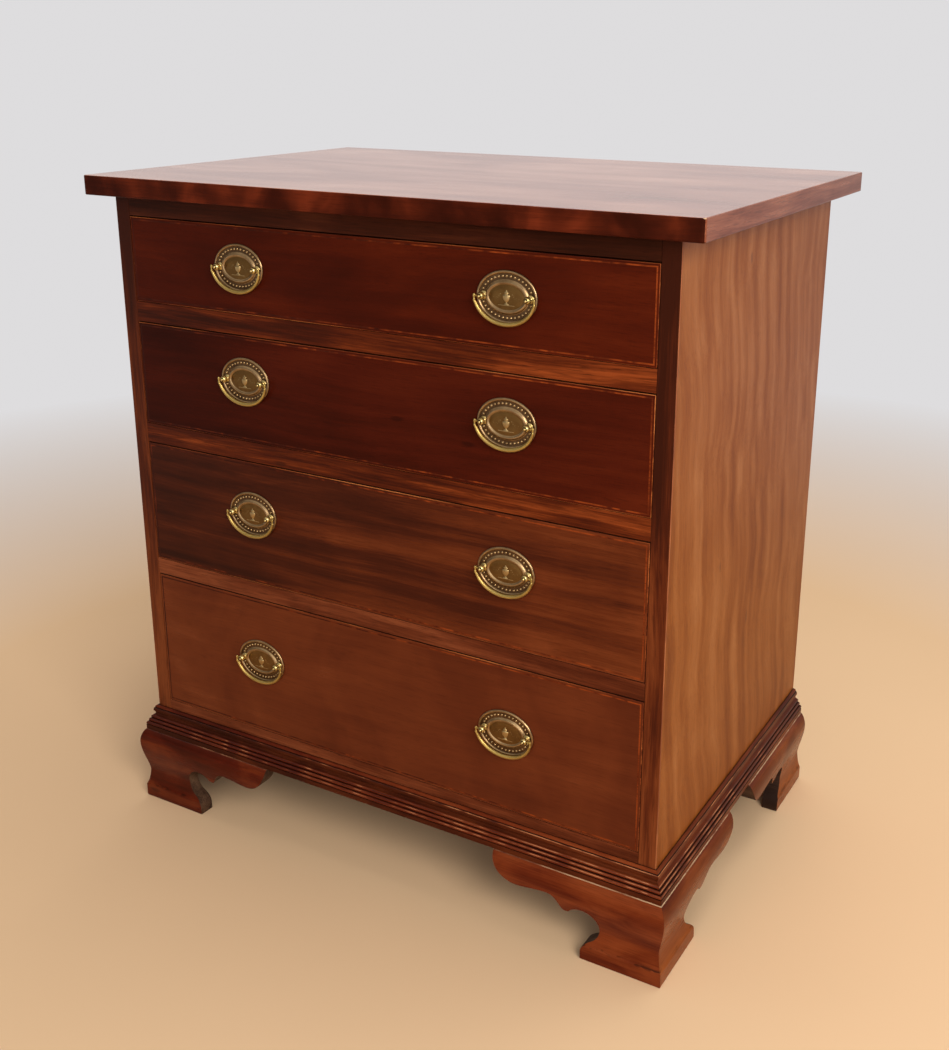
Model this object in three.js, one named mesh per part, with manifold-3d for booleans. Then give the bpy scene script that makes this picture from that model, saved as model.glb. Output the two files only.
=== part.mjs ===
// A small mahogany chest of four long drawers on ogee bracket feet, with oval bail handles.
// Millimetres. X runs right along the front, the front faces -Y and Z is up.
// The origin is on the floor, under the middle of the top.

import * as THREE from "three";
import { mergeVertices } from "three/addons/utils/BufferGeometryUtils.js";
import Module from "manifold-3d";

// Clearances
const seam = 0.3; // between pieces that are seated on, glued to or running on each other
const overrun = 5; // how far a cutter reaches past the face that it cuts

// Whole chest
const chestHeight = 922.5;

// Carcass
const carcassWidth = 800;
const carcassDepth = 523.5;
const sideThickness = 23;
const housingDepth = 9; // how far rails and dust boards enter the sides
const housingStop = 10; // solid wood left in front of each housing
const railDepth = 70;
const dustThickness = 10;
const bottomThickness = 22;
const backThickness = 12;
const backRebate = 11; // how far the back laps into each side
const backBoards = 5;
const backJointWidth = 2.5;
const backJointDepth = 2;

// From the top drawer down: how the openings share the height that the rails leave, and the rail above each
const openingShares = [1.135, 1.42, 1.735, 2.02];
const railHeights = [25.5, 27, 27, 23];

// Top
const topThickness = 25.5;
const topOverhangSide = 32;
const topOverhangFront = 23;
const topOverhangBack = 30;
const topCornerRadius = 4;
const topEasing = 1.5;

// Base moulding, from the feet up: a fillet, reeds, a cove and a bead that laps the carcass
const filletHeight = 7;
const reedCount = 3;
const reedPitch = 4.75;
const reedStep = 2.75; // how far each reed stands in from the one below
const reedArc = [75, -60]; // degrees above and below straight out
const coveHeight = 6.75;
const coveDepth = 2;
const coveArc = [105, 240]; // degrees, round the far side of a flat oval
const coveHalfShare = 0.45; // half the oval's height, of the cove's
const beadHeight = 9;
const beadProjection = 6.2;
const baseProjection = 14.8;
const lipHeight = 7.5; // how far the moulding rises past the underside of the carcass
const ledgeDepth = 30; // how far it reaches in under the sides

// Ogee section of the feet; the "out" sizes are measured from the face of the carcass
const footHeight = 112;
const bellyOut = 22.8;
const bellyHeight = 91.5;
const neckOut = 14.4;
const neckHeight = 44.6;
const padOut = 20;
const padHeight = 20.5;
const padEasing = 0.8;
const bracketInset = 3; // the inner face of a bracket stands this far inside the carcass face
const bellyShares = [0.58, 0.15, 1, 0.63];
const waistShares = [-0.03, 0.33, 0.84, 0.74];
const ankleShares = [0, 0.32, 0.45, 0.8];

// Scrolled outline of a bracket, along the wall from the outer edge of its pad
const bracketLength = 235;
const padLength = 108.4;
const padEdge = 10;
const scrollAlong = 107.5;
const scrollHeight = 47.3;
const scrollRadius = 23;
const scrollArc = [242, 35]; // degrees, clockwise round the hollow
const cuspAlong = 133;
const cuspHeight = 59.9;
const lobeAlong = 155.6;
const lobeHeight = 80;
const dipAlong = 201;
const dipHeight = 75;
const lobeShares = [0.27, 0.1, 0.35, 1];
const dipShares = [0.36, 0, 0.67, 1];
const endShares = [0.53, 0, 0.97, 0.46];

// Plain rear brackets and the glue blocks in the corners
const rearThickness = 18;
const rearLength = 158;
const rearPadLength = 74;
const rearEdge = 20;
const rearShoulder = 14;
const rearShares = [0.05, 0.55, 0.45, 1];
const blockSize = 26;
const blockBite = 3;
const blockRise = 8;

// Drawers
const drawerGapSide = 0.8;
const drawerGapTop = 1.7;
const drawerGapBottom = 0.5;
const drawerGapBack = 23.5; // air between a drawer and the back of the chest
const frontThickness = 20;
const frontLap = 6.5; // wood left in front of the dovetails
const liningThickness = 9.5;
const backboardThickness = 9;
const bottomboardThickness = 7;
const bottomRise = 9; // groove for the bottom, above the lower edge of the sides
const grooveDepth = 4.5;
const sideDrop = 3; // sides are lower than the front
const backDrop = 5; // the back is lower than the sides
const tailPitch = 42;
const pinWidth = 12;
const tailFlare = 2.2;

// Drawer stops on the rails
const stopSpacing = 420;
const stopWidth = 44;
const stopDepth = 14;
const stopHeight = 4.5;

// Handles: centres, then the stamped oval plate, its two posts and the swinging bail
const handleSpacing = 388;
const handleRises = [2.75, 11.5, 13.5, 8.5]; // above the middle of each opening
const plateHalfWidth = 39;
const plateHalfHeight = 30.5;
const plateEdge = 1.1;
const rimWidth = 3.8;
const rimHeight = 2.6;
const troughHeight = 1.3;
const ringInset = 13.2;
const ringWidth = 3;
const ringHeight = 3.1;
const medallionHeight = 2;
const domeHeight = 2.9;
const domeShare = 0.45;
const postSpacing = 59.6;
const postNeckRadius = 2.1;
const ballRadius = 4.6;
const ballOut = 8.25; // bail axis, in front of the drawer face
const ballArc = [-60, 66]; // degrees, from the neck to the button
const buttonRadius = 1.6;
const buttonLength = 1;
const bailHalfWidth = 38.3;
const bailDrop = 30.2;
const bailLean = 2.6; // how far the middle of the bow stands in from the axis, to lie near the rim
const bowRadius = 2.7;
const bailEndRadius = 1.65;
const bailEndRise = 2.2;
const bailEndShares = [0.7, 0.6]; // height where the end starts to round off, and how far it narrows
const pinRadius = 1;
const pinReach = 3; // past the middle of the post
const pinClearance = 0.4;

// How finely curves are divided
const arcSteps = 4;
const ogeeSteps = 5;
const scrollSteps = 12;
const plateSides = 24;
const postSides = 8;
const bailSides = 8;
const bailSteps = 16;

// Sizes that follow from those above
const topWidth = carcassWidth + 2 * topOverhangSide;
const topDepth = topOverhangFront + carcassDepth + topOverhangBack;
const halfWidth = carcassWidth / 2;
const innerHalf = halfWidth - sideThickness;
const frontY = topOverhangFront - topDepth / 2;
const backY = frontY + carcassDepth;
const reedRadius = reedPitch / 2;
const reedsBottom = footHeight + filletHeight;
const coveBottom = reedsBottom + reedCount * reedPitch;
const beadBottom = coveBottom + coveHeight;
const mouldingTop = beadBottom + beadHeight;
const carcassBottom = mouldingTop - lipHeight;
const carcassTop = chestHeight - topThickness;
const sum = (values) => values.reduce((total, value) => total + value, 0);
const openHeight = carcassTop - carcassBottom - bottomThickness - sum(railHeights);
const openings = [];
let level = carcassTop;
openingShares.forEach((share, index) => {
  const height = (openHeight * share) / sum(openingShares);
  const ceiling = level - railHeights[index];
  level = ceiling - height;
  openings.push({ floor: level, ceiling, height });
});
const drawerHalf = innerHalf - drawerGapSide;
const drawerLength = carcassDepth - backThickness - drawerGapBack;

// Finishes
const finishes = {
  top: { color: 0x7c4334, roughness: 0.2, metalness: 0 },
  topRail: { color: 0x4f1f12, roughness: 0.3, metalness: 0 },
  rail: { color: 0x73371c, roughness: 0.3, metalness: 0 },
  side: { color: 0x8f5a38, roughness: 0.28, metalness: 0 },
  front: { color: 0x561f12, roughness: 0.24, metalness: 0 },
  base: { color: 0x5f2415, roughness: 0.25, metalness: 0 },
  lining: { color: 0xa8845a, roughness: 0.7, metalness: 0 },
  inner: { color: 0x8c6a48, roughness: 0.8, metalness: 0 },
  brass: { color: 0xa08350, roughness: 0.35, metalness: 1 },
};

const wasm = await Module();
wasm.setup();

// Six times the volume inside a mesh: below zero when its faces point inwards
function signedVolume(positions, triangles) {
  const corner = (index) => new THREE.Vector3().fromArray(positions, 3 * index);
  let sum = 0;
  for (let i = 0; i < triangles.length; i += 3) {
    const [a, b, c] = [0, 1, 2].map((k) => corner(triangles[i + k]));
    sum += a.dot(b.cross(c));
  }
  return sum;
}

// A closed geometry as a solid that can be joined and cut
function solidOf(geometry) {
  const bare = new THREE.BufferGeometry();
  bare.setAttribute("position", geometry.getAttribute("position"));
  bare.setIndex(geometry.index);
  const merged = mergeVertices(bare, 1e-4);
  const vertProperties = new Float32Array(merged.getAttribute("position").array);
  const triVerts = new Uint32Array(merged.index.array);
  if (signedVolume(vertProperties, triVerts) < 0) {
    triVerts.reverse();
  }
  return new wasm.Manifold(new wasm.Mesh({ numProp: 3, vertProperties, triVerts }));
}

function geometryOf(solid) {
  const mesh = solid.getMesh();
  const geometry = new THREE.BufferGeometry();
  geometry.setAttribute("position", new THREE.BufferAttribute(mesh.vertProperties, 3));
  geometry.setIndex(new THREE.BufferAttribute(mesh.triVerts, 1));
  const faceted = geometry.toNonIndexed();
  faceted.computeVertexNormals();
  return faceted;
}

function moveVertices(geometry, place) {
  const position = geometry.getAttribute("position");
  for (let i = 0; i < position.count; i += 1) {
    const [x, y, z] = place(position.getX(i), position.getY(i), position.getZ(i));
    position.setXYZ(i, x, y, z);
  }
  return geometry;
}

const points = (pairs) => pairs.map(([u, v]) => new THREE.Vector2(u, v));

// An outline of [u, v] pairs drawn across an axis and given its depth along that axis
const across = {
  x: (u, v, w) => [w, u, v],
  y: (u, v, w) => [u, w, v],
  z: (u, v, w) => [u, v, w],
};

function prism(outline, axis, from, to) {
  const settings = { depth: to - from, bevelEnabled: false };
  const geometry = new THREE.ExtrudeGeometry(new THREE.Shape(outline), settings);
  const place = (u, v, w) => across[axis](u, v, from + w);
  return solidOf(moveVertices(geometry, place));
}

function block(x0, x1, y0, y1, z0, z1) {
  const geometry = new THREE.BoxGeometry(Math.abs(x1 - x0), y1 - y0, z1 - z0);
  geometry.translate((x0 + x1) / 2, (y0 + y1) / 2, (z0 + z1) / 2);
  return solidOf(geometry);
}

// A curve between two places whose handles are shares of the way across and up
function bend([u0, v0], [u1, v1], [a, b, c, d], steps = ogeeSteps) {
  const at = (over, up) => new THREE.Vector2(u0 + (u1 - u0) * over, v0 + (v1 - v0) * up);
  return new THREE.CubicBezierCurve(at(0, 0), at(a, b), at(c, d), at(1, 1)).getPoints(steps);
}

function arc(u, v, radiusU, radiusV, fromDegrees, toDegrees, steps) {
  const turn = THREE.MathUtils.degToRad;
  const clockwise = toDegrees < fromDegrees;
  const sweep = [turn(fromDegrees), turn(toDegrees), clockwise];
  return new THREE.EllipseCurve(u, v, radiusU, radiusV, ...sweep).getPoints(steps);
}

// A skin over rings of equally many points, closed by a flat face at each end
function loft(rings) {
  const sides = rings[0].length;
  const last = (rings.length - 1) * sides;
  const triangles = [];
  for (let ring = 0; ring < last; ring += sides) {
    for (let side = 0; side < sides; side += 1) {
      const here = ring + side;
      const beside = ring + ((side + 1) % sides);
      triangles.push(here, beside, here + sides);
      triangles.push(beside, beside + sides, here + sides);
    }
  }
  for (let side = 1; side < sides - 1; side += 1) {
    triangles.push(0, side + 1, side);
    triangles.push(last, last + side, last + side + 1);
  }
  const geometry = new THREE.BufferGeometry().setFromPoints(rings.flat());
  geometry.setIndex(triangles);
  return solidOf(geometry);
}

const joined = (solids) => solids.reduce((whole, solid) => whole.add(solid));
const cut = (body, cutters) => cutters.reduce((whole, cutter) => whole.subtract(cutter), body);

function piece(name, solid, finish, parent) {
  const mesh = new THREE.Mesh(geometryOf(solid), new THREE.MeshStandardMaterial(finish));
  mesh.name = name;
  parent.add(mesh);
  return mesh;
}

// Top board: rounded corners and eased edges
function topBoard() {
  const shape = new THREE.Shape();
  const [x, y, r] = [topWidth / 2, topDepth / 2, topCornerRadius];
  shape.moveTo(-x + r, -y);
  shape.lineTo(x - r, -y).absarc(x - r, -y + r, r, -Math.PI / 2, 0);
  shape.lineTo(x, y - r).absarc(x - r, y - r, r, 0, Math.PI / 2);
  shape.lineTo(-x + r, y).absarc(-x + r, y - r, r, Math.PI / 2, Math.PI);
  shape.lineTo(-x, -y + r).absarc(-x + r, -y + r, r, Math.PI, 1.5 * Math.PI);
  const geometry = new THREE.ExtrudeGeometry(shape, {
    depth: topThickness - 2 * topEasing,
    bevelThickness: topEasing,
    bevelSize: topEasing,
    bevelOffset: -topEasing,
    bevelSegments: 2,
    curveSegments: 2,
  });
  return solidOf(geometry.translate(0, 0, topEasing));
}

// A side has housings for the rails and boards and a rebate for the back
function carcassSide(hand) {
  const span = (near, far) => (hand < 0 ? [-far, -near] : [near, far]);
  const board = block(
    ...span(innerHalf, halfWidth),
    frontY,
    backY,
    carcassBottom,
    carcassTop - seam,
  );
  const housing = (y0, y1, z0, z1) =>
    block(...span(innerHalf - overrun, innerHalf + housingDepth), y0, y1, z0, z1);
  const stopY = frontY + housingStop;
  const railEnd = frontY + railDepth + seam;
  const cutters = [
    housing(stopY, backY + overrun, carcassBottom - overrun, openings.at(-1).floor + seam),
    block(
      ...span(innerHalf - overrun, innerHalf + backRebate),
      backY - backThickness - seam,
      backY + overrun,
      carcassBottom - overrun,
      carcassTop + overrun,
    ),
  ];
  openings.forEach(({ ceiling }, index) => {
    const railTop = ceiling + railHeights[index];
    const [low, high] = dustLevels(index);
    const open = index === 0 ? overrun : seam;
    cutters.push(housing(stopY, railEnd, ceiling - seam, railTop + open));
    cutters.push(housing(railEnd - overrun, backY + overrun, low - seam, high + seam));
  });
  return cut(board, cutters);
}

// Dust boards lie flush with the top of their rail; the uppermost with the foot of its rail
function dustLevels(index) {
  const { ceiling } = openings[index];
  const low = index === 0 ? ceiling : ceiling + railHeights[index] - dustThickness;
  return [low, low + dustThickness];
}

// A board between the sides whose ends are tongues that start behind the housing stop
function housedBoard(length, low, high) {
  const [near, far] = [innerHalf - seam, innerHalf + housingDepth - seam];
  const tongueY = frontY + housingStop + seam;
  const end = frontY + length;
  const half = [
    [near, frontY],
    [near, tongueY],
    [far, tongueY],
    [far, end],
  ];
  const mirrored = half.map(([x, y]) => [-x, y]).reverse();
  return prism(points([...half, ...mirrored]), "z", low, high);
}

// Two blocks on a rail that stop the drawer front above it
function drawerStops(railTop) {
  const y = frontY + frontThickness + seam;
  return [-1, 1].map((hand) => {
    const x = (hand * stopSpacing) / 2;
    const [x0, x1] = [x - stopWidth / 2, x + stopWidth / 2];
    return block(x0, x1, y, y + stopDepth, railTop - stopHeight, railTop + stopHeight);
  });
}

function dustBoard(index) {
  const x = innerHalf + housingDepth - seam;
  const y = frontY + railDepth + 2 * seam;
  return block(-x, x, y, backY - backThickness - 2 * seam, ...dustLevels(index));
}

// The back is of upright boards whose joints show as grooves behind
function backPanel() {
  const x = innerHalf + backRebate - seam;
  const panel = block(-x, x, backY - backThickness, backY, carcassBottom, carcassTop - seam);
  const joints = [];
  for (let board = 1; board < backBoards; board += 1) {
    const jointX = -x + (2 * x * board) / backBoards;
    joints.push(
      block(
        jointX - backJointWidth / 2,
        jointX + backJointWidth / 2,
        backY - backJointDepth,
        backY + overrun,
        carcassBottom - overrun,
        carcassTop + overrun,
      ),
    );
  }
  return cut(panel, joints);
}

// A section of [out, height] run along a wall; a mitred end follows the outward slope of the mitre.
// "place" turns out, along and height into X, Y and Z.
function wallRun(section, start, end, mitreStart, mitreEnd, place) {
  const settings = { depth: 1, bevelEnabled: false };
  const geometry = new THREE.ExtrudeGeometry(new THREE.Shape(section), settings);
  const along = (out, w) =>
    w === 0 ? start - (mitreStart ? out : 0) : end + (mitreEnd ? out : 0);
  return solidOf(moveVertices(geometry, (out, height, w) => place(out, along(out, w), height)));
}

// Walls: "along" starts at the left corner of the front, or at the front corner of a side
const onFront = (out, along, height) => [along - halfWidth, frontY - out, height];
const onSide = (hand) => (out, along, height) => [hand * (halfWidth + out), frontY + along, height];
const onBackOfSide = (hand) => (out, along, height) => [
  hand * (halfWidth + out),
  backY - along,
  height,
];

function mouldingSection() {
  const reeds = [];
  for (let reed = reedCount - 1; reed >= 0; reed -= 1) {
    const out = baseProjection - reedRadius - reed * reedStep;
    const height = reedsBottom + (reed + 0.5) * reedPitch;
    reeds.push(...arc(out, height, reedRadius, reedRadius, ...reedArc, arcSteps));
  }
  const beadOut = seam + beadProjection;
  const coveMiddle = (beadBottom + coveBottom) / 2;
  return [
    ...arc(seam, beadBottom, beadProjection, beadHeight, 90, 0, arcSteps),
    ...arc(beadOut, coveMiddle, coveDepth, coveHeight * coveHalfShare, ...coveArc, arcSteps),
    ...points([[reeds[0].x, coveBottom]]),
    ...reeds,
    ...points([
      [baseProjection, reedsBottom],
      [baseProjection, footHeight + seam],
      [-ledgeDepth, footHeight + seam],
      [-ledgeDepth, carcassBottom - seam],
      [seam, carcassBottom - seam],
    ]),
  ];
}

function ogeeSection() {
  return [
    ...bend([baseProjection, footHeight], [bellyOut, bellyHeight], bellyShares),
    ...bend([bellyOut, bellyHeight], [neckOut, neckHeight], waistShares).slice(1),
    ...bend([neckOut, neckHeight], [padOut - padEasing, padHeight], ankleShares).slice(1),
    ...points([
      [padOut, padHeight - 2 * padEasing],
      [padOut, 2 * padEasing],
      [padOut - padEasing, 0],
      [-bracketInset, 0],
      [-bracketInset, footHeight],
    ]),
  ];
}

// Scrolled outline of a bracket; "start" is where its outer edge lies along the wall
function scrollOutline(start) {
  const scroll = arc(scrollAlong, scrollHeight, scrollRadius, scrollRadius, ...scrollArc, scrollSteps);
  const shoulder = new THREE.QuadraticBezierCurve(
    new THREE.Vector2(padLength, padEdge),
    new THREE.Vector2(padLength, 2 * padEdge),
    scroll[0],
  );
  const outline = [
    ...points([
      [-bellyOut - overrun, -overrun],
      [padLength, -overrun],
    ]),
    ...shoulder.getPoints(arcSteps),
    ...scroll.slice(1),
    ...bend([cuspAlong, cuspHeight], [lobeAlong, lobeHeight], lobeShares),
    ...bend([lobeAlong, lobeHeight], [dipAlong, dipHeight], dipShares, arcSteps).slice(1),
    ...bend([dipAlong, dipHeight], [bracketLength, footHeight], endShares).slice(1),
    ...points([
      [bracketLength, footHeight + overrun],
      [-bellyOut - overrun, footHeight + overrun],
    ]),
  ];
  return outline.map((point) => new THREE.Vector2(point.x + start, point.y));
}

// A bracket is the ogee section run along the wall and sawn to the scrolled outline
function bracket(place, mitred, trim = 0) {
  const start = mitred ? -padOut : 0;
  const end = start + bracketLength + overrun;
  const stock = wallRun(ogeeSection(), trim, end, mitred, false, place);
  const sawn = prism(scrollOutline(start), "z", -overrun - ledgeDepth, bellyOut + overrun);
  const position = (along, height, out) => place(out, along, height);
  const cutter = moveVertices(geometryOf(sawn), position);
  cutter.deleteAttribute("normal");
  return stock.intersect(solidOf(cutter));
}

const bracketInnerX = halfWidth - bracketInset;

// Corner block glued behind a side bracket, from y0 to y1
function glueBlock(hand, y0, y1) {
  const near = hand * (bracketInnerX - blockSize);
  const far = hand * (bracketInnerX + blockBite);
  return block(Math.min(near, far), Math.max(near, far), y0, y1, blockRise, footHeight);
}

// A plain board behind each rear foot, notched round the moulding's ledge to bear on the carcass
function rearBracket(hand) {
  const start = bracketInnerX - seam;
  const ledge = start - (halfWidth - ledgeDepth - seam);
  const outline = [
    ...points([
      [0, 0],
      [rearPadLength, 0],
    ]),
    ...bend([rearPadLength, rearEdge], [rearLength, footHeight - rearShoulder], rearShares),
    ...points([
      [rearLength, carcassBottom - seam],
      [ledge, carcassBottom - seam],
      [ledge, footHeight],
      [0, footHeight],
    ]),
  ];
  const placed = outline.map(({ x, y }) => new THREE.Vector2(hand * (start - x), y));
  return prism(placed, "y", backY - rearThickness, backY);
}

// Dovetails between two heights: base and tip of each tail, for the ends of a drawer side
function tailsBetween(low, high) {
  const count = Math.max(2, Math.round((high - low) / tailPitch));
  const pitch = (high - low) / count;
  return Array.from({ length: count }, (_, tail) => {
    const base = low + tail * pitch + pinWidth / 2;
    return [base, base + pitch - pinWidth];
  });
}

// Outline of the socket that takes a tail, from the face where it is narrow to its wide end
function socket([low, high], face, tip) {
  const outward = Math.sign(face - tip) * overrun;
  return points([
    [face + outward, low - seam],
    [face, low - seam],
    [tip, low - tailFlare - seam],
    [tip, high + tailFlare + seam],
    [face, high + seam],
    [face + outward, high + seam],
  ]);
}

// The same socket carried on past its wide end, for a board that the tail goes right through
function throughSocket(tail, face, tip) {
  const outline = socket(tail, face, tip);
  const [low, high] = [outline[2], outline[3]];
  const past = tip + Math.sign(tip - face) * overrun;
  outline.splice(3, 0, ...points([[past, low.y], [past, high.y]]));
  return outline;
}

// All heights and depths of one drawer, from the foot of its opening and its front face
function drawerSizes(height) {
  const bottom = seam + bottomRise;
  const sides = [seam, height - drawerGapTop - sideDrop];
  const back = [bottom + bottomboardThickness + seam, sides[1] - backDrop];
  return {
    front: [drawerGapBottom, height - drawerGapTop],
    sides,
    back,
    bottom: [bottom, bottom + bottomboardThickness],
    frontTails: tailsBetween(...sides),
    backTails: tailsBetween(...back),
  };
}

const backboardY = drawerLength - backboardThickness;
const grooveHalf = drawerHalf - liningThickness + grooveDepth;

function drawerFront({ front, bottom, frontTails }) {
  const board = block(-drawerHalf, drawerHalf, 0, frontThickness, ...front);
  const groove = block(
    -grooveHalf,
    grooveHalf,
    frontThickness - grooveDepth,
    frontThickness + overrun,
    bottom[0] - seam,
    bottom[1] + seam,
  );
  const inner = drawerHalf - liningThickness - seam;
  const sockets = frontTails.flatMap((tail) => {
    const outline = socket(tail, frontThickness, frontLap);
    return [
      prism(outline, "x", inner, drawerHalf + overrun),
      prism(outline, "x", -drawerHalf - overrun, -inner),
    ];
  });
  return cut(board, [groove, ...sockets]);
}

function drawerSide(hand, { sides, back, bottom, frontTails, backTails }) {
  const [frontBase, frontTip] = [frontThickness + seam, frontLap + seam];
  const backBase = backboardY - seam;
  const outline = [[frontBase, sides[0]]];
  frontTails.forEach(([low, high]) => {
    outline.push([frontBase, low], [frontTip, low - tailFlare]);
    outline.push([frontTip, high + tailFlare], [frontBase, high]);
  });
  outline.push([frontBase, sides[1]], [drawerLength, sides[1]]);
  outline.push([drawerLength, back[1] + seam], [backBase, back[1] + seam]);
  [...backTails].reverse().forEach(([low, high]) => {
    outline.push([backBase, high], [drawerLength, high + tailFlare]);
    outline.push([drawerLength, low - tailFlare], [backBase, low]);
  });
  outline.push([backBase, back[0] - seam], [drawerLength, back[0] - seam]);
  outline.push([drawerLength, sides[0]]);
  const [near, far] = [hand * (drawerHalf - liningThickness), hand * drawerHalf];
  const board = prism(points(outline), "x", Math.min(near, far), Math.max(near, far));
  const [grooveFar, grooveNear] = [hand * grooveHalf, near - hand * overrun];
  const groove = block(
    Math.min(grooveNear, grooveFar),
    Math.max(grooveNear, grooveFar),
    0,
    drawerLength + overrun,
    bottom[0] - seam,
    bottom[1] + seam,
  );
  return board.subtract(groove);
}

function drawerBack({ back, backTails }) {
  const board = block(-drawerHalf, drawerHalf, backboardY, drawerLength, ...back);
  const inner = drawerHalf - liningThickness - seam;
  const sockets = backTails.flatMap((tail) => {
    const outline = throughSocket(tail, backboardY, drawerLength);
    return [
      prism(outline, "x", inner, drawerHalf + overrun),
      prism(outline, "x", -drawerHalf - overrun, -inner),
    ];
  });
  return cut(board, sockets);
}

function drawerBottom({ bottom }) {
  const x = grooveHalf - seam;
  return block(-x, x, frontThickness - grooveDepth + seam, drawerLength, ...bottom);
}

// Oval ring in the plane of the plate, "inset" in from its edge and "out" from the drawer face
function ovalRing(halfAcross, halfUp, out) {
  return Array.from({ length: plateSides }, (_, side) => {
    const angle = (2 * Math.PI * side) / plateSides;
    return new THREE.Vector3(halfAcross * Math.cos(angle), -out, halfUp * Math.sin(angle));
  });
}

// A post: neck, ball with a cross bore for the bail, and a button in front
function post(hand) {
  const foot = troughHeight / 2;
  const buttonTop = ballOut + ballRadius + buttonLength;
  const profile = [
    ...points([
      [0, foot],
      [ballRadius, foot],
      [postNeckRadius, foot + (ballOut - ballRadius) / 2],
    ]),
    ...arc(0, ballOut, ballRadius, ballRadius, ...ballArc, arcSteps),
    ...points([
      [buttonRadius, buttonTop],
      [0, buttonTop],
    ]),
  ];
  const turned = new THREE.LatheGeometry(profile, postSides);
  moveVertices(turned, (x, y, z) => [x + (hand * postSpacing) / 2, -y, z]);
  const boreRadius = pinRadius + pinClearance;
  const bore = new THREE.CylinderGeometry(boreRadius, boreRadius, 4 * ballRadius, postSides);
  moveVertices(bore, (x, y, z) => [y + (hand * postSpacing) / 2, x - ballOut, z]);
  return solidOf(turned).subtract(solidOf(bore));
}

// The stamped plate: raised rim, trough, ring and domed medallion
function handlePlate() {
  const ring = (inset, out) => ovalRing(plateHalfWidth - inset, plateHalfHeight - inset, out);
  const medallionInset = ringInset + ringWidth;
  const plate = loft([
    ring(0, seam),
    ring(0, plateEdge),
    ring(rimWidth / 3, rimHeight),
    ring(rimWidth, troughHeight),
    ring(ringInset - ringWidth / 2, troughHeight),
    ring(ringInset, ringHeight),
    ring(medallionInset, medallionHeight),
    ovalRing(
      (plateHalfWidth - medallionInset) * domeShare,
      (plateHalfHeight - medallionInset) * domeShare,
      domeHeight,
    ),
  ]);
  return joined([plate, post(-1), post(1)]);
}

// The bail: a tapering bow with upright ends, and pins that turn in through the posts
function handleBail() {
  const stations = [];
  for (let step = 0; step <= bailSteps; step += 1) {
    const angle = (Math.PI * step) / bailSteps;
    const swell = Math.sin(angle);
    stations.push({
      x: bailHalfWidth * Math.cos(angle),
      z: -bailDrop * swell,
      out: ballOut - bailLean * swell,
      normal: new THREE.Vector2(bailDrop * Math.cos(angle), -bailHalfWidth * swell).normalize(),
      radius: bailEndRadius + (bowRadius - bailEndRadius) * swell,
    });
  }
  const end = (hand, rise, share) => ({
    x: hand * bailHalfWidth,
    z: rise,
    out: ballOut,
    normal: new THREE.Vector2(hand, 0),
    radius: bailEndRadius * share,
  });
  const [shoulderShare, tipShare] = bailEndShares;
  const shoulder = bailEndRise * shoulderShare;
  stations.unshift(end(1, bailEndRise, tipShare), end(1, shoulder, 1));
  stations.push(end(-1, shoulder, 1), end(-1, bailEndRise, tipShare));
  const rings = stations.map(({ x, z, out, normal, radius }) =>
    Array.from({ length: bailSides }, (_, side) => {
      const angle = (2 * Math.PI * side) / bailSides;
      const away = radius * Math.cos(angle);
      const forward = radius * Math.sin(angle);
      return new THREE.Vector3(x + normal.x * away, forward - out, z + normal.y * away);
    }),
  );
  const pins = [-1, 1].map((hand) => {
    const tip = postSpacing / 2 - pinReach;
    const length = bailHalfWidth - tip;
    const pin = new THREE.CylinderGeometry(pinRadius, pinRadius, length, postSides);
    const middle = (hand * (bailHalfWidth + tip)) / 2;
    return solidOf(moveVertices(pin, (x, y, z) => [y + middle, x - ballOut, z]));
  });
  return joined([loft(rings), ...pins]);
}

const chest = new THREE.Group();
const carcass = new THREE.Group();
chest.add(carcass);

const top = piece("top", topBoard(), finishes.top, carcass);
top.position.set(0, 0, carcassTop);
piece("left_side", carcassSide(-1), finishes.side, carcass);
piece("right_side", carcassSide(1), finishes.side, carcass);
piece("back_panel", backPanel(), finishes.inner, carcass);

const bottomLength = carcassDepth - backThickness - 2 * seam;
const bottomTop = openings.at(-1).floor;
const bottomBoard = housedBoard(bottomLength, carcassBottom, bottomTop);
piece("bottom_board", joined([bottomBoard, ...drawerStops(bottomTop)]), finishes.rail, carcass);

openings.forEach(({ ceiling }, index) => {
  const railTop = ceiling + railHeights[index];
  const uppermost = index === 0;
  const high = uppermost ? railTop - seam : railTop;
  const rail = housedBoard(railDepth, ceiling, high);
  const name = uppermost ? "top_rail" : `divider_rail_${index}`;
  const solid = uppermost ? rail : joined([rail, ...drawerStops(railTop)]);
  piece(name, solid, uppermost ? finishes.topRail : finishes.rail, carcass);
  const dustName = uppermost ? "top_dust_board" : `dust_board_${index}`;
  piece(dustName, dustBoard(index), finishes.inner, carcass);
});

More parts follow.
